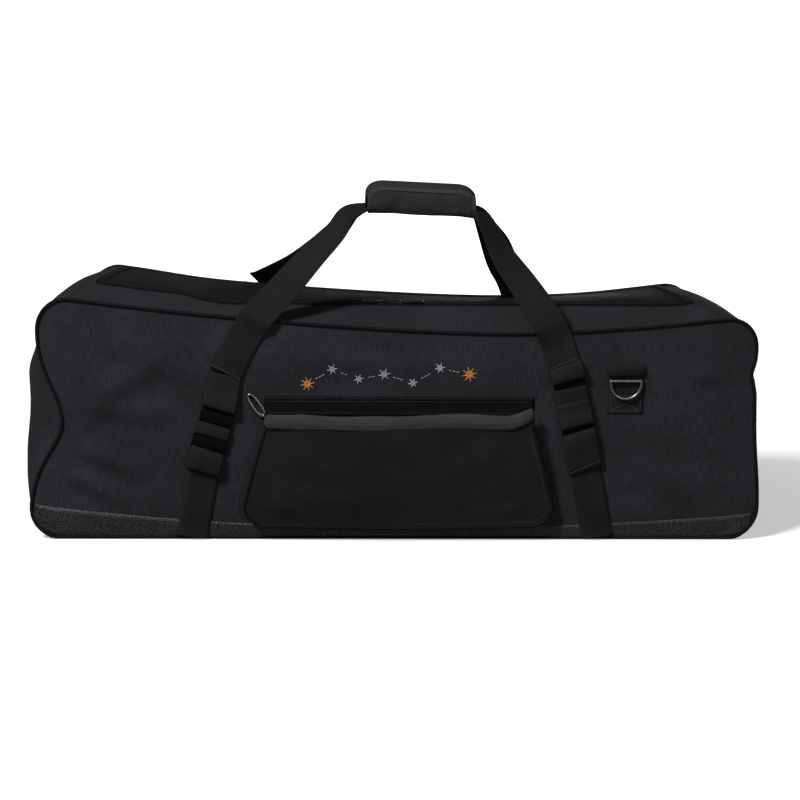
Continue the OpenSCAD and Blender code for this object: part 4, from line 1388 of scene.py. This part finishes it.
shell = Shell()
outer, inner = wrapped(shell, FLAP_X0, FLAP_X1, -50, 27, 0.0024, 0.0046, 80, 22, wave=0.0018)
rim_line = np.vstack([outer[:, 0] * 0.5 + inner[:, 0] * 0.5, outer[-1, 1:-1] * 0.5 + inner[-1, 1:-1] * 0.5,
                      (outer[:, -1] * 0.5 + inner[:, -1] * 0.5)[::-1]])
rim_line = curve_through(rim_line[::3], 150)
settle(shell.build("grip_flap_cloth", GRIP_CLOTH), "flap", "grip_cloth", "wrap_flap")

shell = Shell()
outward = together(0 * rim_line[:, 0], rim_line[:, 1] - GRIP_Y, rim_line[:, 2] - GRIP_Z)
ahead = np.gradient(rim_line, axis=0)
across = np.cross(outward, ahead)
shell.ribbon(rim_line, across, 0.0056, 0.0042)
settle(shell.build("grip_flap_binding", BINDING), "flap", "grip_cloth")

shell = Shell()
wrapped(shell, FLAP_X0 + 0.004, FLAP_X1 - 0.006, -36, 16, 0.0014, 0.0022, 40, 12)
settle(shell.build("loop_patch", HOOKS), "flap", "hook_loop", "loop_strip")
shell = Shell()
wrapped(shell, PAD_X0 - 0.001, FLAP_X1 - 0.006, -40, 18, 0.0002, 0.0011, 40, 12)
settle(shell.build("hook_patch", HOOKS), "front_handle", "hook_loop", "hook_strip")


# ---- Metal: sliders and pulls ----
def rounded_box(shell, centre, axes, size, power):
    """A box with soft corners: a superellipsoid on three axes."""
    axes, rows, cols = np.asarray(axes, float), 9, 16
    lat = np.linspace(-math.pi / 2, math.pi / 2, rows)[1:-1]
    lon = round_angles(cols) + math.pi / cols
    level = squarish(np.cos(lat), power)[:, None]
    x = level * squarish(np.cos(lon), power)
    y = level * squarish(np.sin(lon), power)
    z = squarish(np.sin(lat), power)[:, None] + 0 * x
    half = np.asarray(size, float) / 2
    points = (np.asarray(centre, float) + x[..., None] * axes[0] * half[0] + y[..., None] * axes[1] * half[1]
              + z[..., None] * axes[2] * half[2])
    shell.caps(shell.grid(points, wrap_v=True), len(lat), cols)


def slider(name, node, run, up, shift=(0, 0, 0)):
    """A zip slider: two wings joined by a post, with an arch for its pull. Its body has its node's name."""
    low, high = (np.array(c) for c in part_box(node))
    centre = (low + high) / 2 + np.asarray(shift, float)
    run, up = np.asarray(run, float), np.asarray(up, float)
    wide = np.cross(up, run)
    size = np.abs([(high - low) @ np.abs(run), (high - low) @ np.abs(wide), (high - low) @ np.abs(up)])
    shell = Shell()
    top = centre + up * (size[2] / 2 - 0.0009)
    foot = centre - up * (size[2] / 2 - 0.0006)
    rounded_box(shell, top, (run, wide, up), (size[0], size[1], 0.0014), 0.5)
    rounded_box(shell, foot, (run, wide, up), (size[0] * 0.96, size[1] * 0.96, 0.001), 0.5)
    rounded_box(shell, centre + run * size[0] * 0.36, (run, wide, up), (0.0016, 0.0018, size[2] * 0.8), 0.6)
    a = np.linspace(0, math.pi, 12)
    arch = top + np.outer(np.cos(a) * size[0] * 0.36, run) + np.outer(np.sin(a) * 0.0026, up)
    shell.tube(arch, 0.0007, sides=8, up=tuple(wide))
    settle(shell.build(name, DARK_METAL), node, "slider_metal", node)


slider("left_zip_slider", "left_slider", (-1, 0, 0), (0, 0, 1))
slider("right_zip_slider", "right_slider", (1, 0, 0), (0, 0, 1))
# The pocket's slider sits at the very end of its zip. The shift is along its pull's hinge, so the pull turns true
PULL_AXIS = np.array((0.809017, 0.0, 0.587785))
PULL_SHIFT = -0.012 * PULL_AXIS
slider("pocket_zip_slider", "pocket_slider", (1, 0, 0), (0, -1, 0), PULL_SHIFT)


def ring_pull():
    """The pocket's long wire pull."""
    low, high = (np.array(c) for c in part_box("pocket_pull"))
    up = np.array((-0.587785, 0.0, 0.809017))
    middle = (low + high) / 2 + PULL_SHIFT
    a = round_angles(40)
    c, sn = np.cos(a), np.sin(a)
    path = (middle + np.outer(squarish(sn, 0.8) * 0.018, up)
            + np.outer(squarish(c, 0.8) * 0.005, PULL_AXIS))
    path[:, 1] += 0.0012 * sn
    shell = Shell()
    shell.tube(path, 0.0018, sides=12, closed=True, up=(0, 1, 0))
    root = middle - up * 0.0185
    loop = root + np.outer(c * 0.0032, up) + np.outer(sn * 0.003, (0.0, 1.0, 0.0))
    shell.tube(loop, 0.001, sides=8, closed=True, up=tuple(PULL_AXIS))
    settle(shell.build("pocket_wire_pull", RING_METAL), "pocket_pull", "slider_metal", "pocket_pull")


ring_pull()


def leaf_pull(name, node, sign):
    """A flat tongue with a raised pad towards its tip, and a ring through the slider's arch."""
    low, high = (np.array(c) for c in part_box(node))
    root = low[0] if sign > 0 else high[0]
    tip = high[0] if sign > 0 else low[0]
    y, z = (low[1] + high[1]) / 2, (low[2] + high[2]) / 2
    w = high[1] - low[1]
    shell = Shell()
    a = round_angles(20)
    ring = together(root + sign * (0.0042 + 0.0042 * np.cos(a)), y + 0.003 * np.sin(a), z + 0 * a)
    shell.tube(ring, 0.0006, sides=7, closed=True)
    long, bare = abs(tip - root), 0.0075
    rounded_box(shell, ((root + sign * bare + tip) / 2, y, z), np.eye(3), (long - bare, w * 0.92, 0.0013), 0.55)
    rounded_box(shell, ((root + tip * 2) / 3, y, z), np.eye(3), (long * 0.42, w * 0.5, 0.0019), 0.6)
    settle(shell.build(name, DARK_METAL), node, "slider_metal", node)


leaf_pull("left_pull_leaf", "left_pull", -1)
leaf_pull("right_pull_leaf", "right_pull", 1)

# The two D-rings keep the CAD's shape
for node in ("front_d_ring", "rear_d_ring"):
    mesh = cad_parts[node].data
    mesh.materials.clear()
    mesh.materials.append(NICKEL)


# ---- Floor, light and camera ----
# The floor is white to the camera round the case, grey to everything else, and fades outwards
FLOOR_REACH, FLOOR_Z = 14, -0.0006
corners = [(x * FLOOR_REACH, y * FLOOR_REACH, FLOOR_Z) for x, y in ((-1, -1), (1, -1), (1, 1), (-1, 1))]
floor = add_mesh("floor", corners, [(0, 1, 2, 3)])
paper = Look("pale_paper", (0.93, 0.93, 0.93), 0.9, specular=0.1)
place = paper.coords((1, 1, 1), "Object")
far = paper.node("ShaderNodeVectorMath", {0: place}, operation="LENGTH").outputs["Value"]
seen = paper.node("ShaderNodeLightPath").outputs["Is Camera Ray"]
paper.link(paper.ramp(paper.maths("MULTIPLY", far, 0.25), 0.16, 0.5, (0.42,) * 3, (1.0,) * 3), "Emission Color")
paper.link(seen, "Emission Strength")
grain = paper.ramp(paper.noise((3, 3, 3), kind="Object"), 0.3, 0.7, (0.92,) * 3, (0.94,) * 3)
paper.link(paper.blend_colour("MIX", seen, (0.18, 0.18, 0.18), grain), "Base Color")
floor.data.materials.append(paper.mat)

AIM = Vector((0.0083, -0.125, 0.2))
AZIMUTH, ELEVATION, DISTANCE = math.radians(-2.5), math.radians(12), 3.7


def point_at(obj, place, target):
    obj.location = place
    obj.rotation_euler = (Vector(target) - Vector(place)).to_track_quat("-Z", "Y").to_euler()


camera_data = bpy.data.cameras.new("camera")
camera_data.lens = 120
camera_data.sensor_width = 36
camera_data.clip_end = 60
camera = bpy.data.objects.new("camera", camera_data)
bpy.context.scene.collection.objects.link(camera)
bpy.context.scene.camera = camera
away = Vector((math.sin(AZIMUTH) * math.cos(ELEVATION), -math.cos(AZIMUTH) * math.cos(ELEVATION),
               math.sin(ELEVATION)))
point_at(camera, AIM + away * DISTANCE, AIM)
camera.rotation_euler.rotate_axis("Z", math.radians(0.7))


def area_light(name, place, target, size, power):
    data = bpy.data.lights.new(name, "AREA")
    data.shape = "RECTANGLE"
    data.size, data.size_y = size
    data.energy = power
    obj = bpy.data.objects.new(name, data)
    bpy.context.scene.collection.objects.link(obj)
    point_at(obj, place, target)


area_light("key", (-2.1, -2.5, 3.3), (0, 0, 0.2), (0.8, 0.7), 190)
area_light("fill", (1.5, -3.8, 1.5), (0, 0, 0.2), (1.2, 1.2), 30)
area_light("back", (1.0, 3.6, 0.35), (0, 0, 0.15), (1.0, 0.5), 20)

# The world lights the case faintly, and is white to the camera
WORLD_LIGHT = 0.08
world = bpy.data.worlds.new("studio")
bpy.context.scene.world = world
world.use_nodes = True
tree = world.node_tree
back = tree.nodes["Background"]
ray = tree.nodes.new("ShaderNodeLightPath")
level = tree.nodes.new("ShaderNodeMath")
level.operation = "MULTIPLY_ADD"
level.inputs[1].default_value = 1 - WORLD_LIGHT
level.inputs[2].default_value = WORLD_LIGHT
tree.links.new(ray.outputs["Is Camera Ray"], level.inputs[0])
tree.links.new(level.outputs[0], back.inputs["Strength"])
back.inputs["Color"].default_value = (1, 1, 1, 1)
bpy.context.scene.view_settings.view_transform = "Standard"
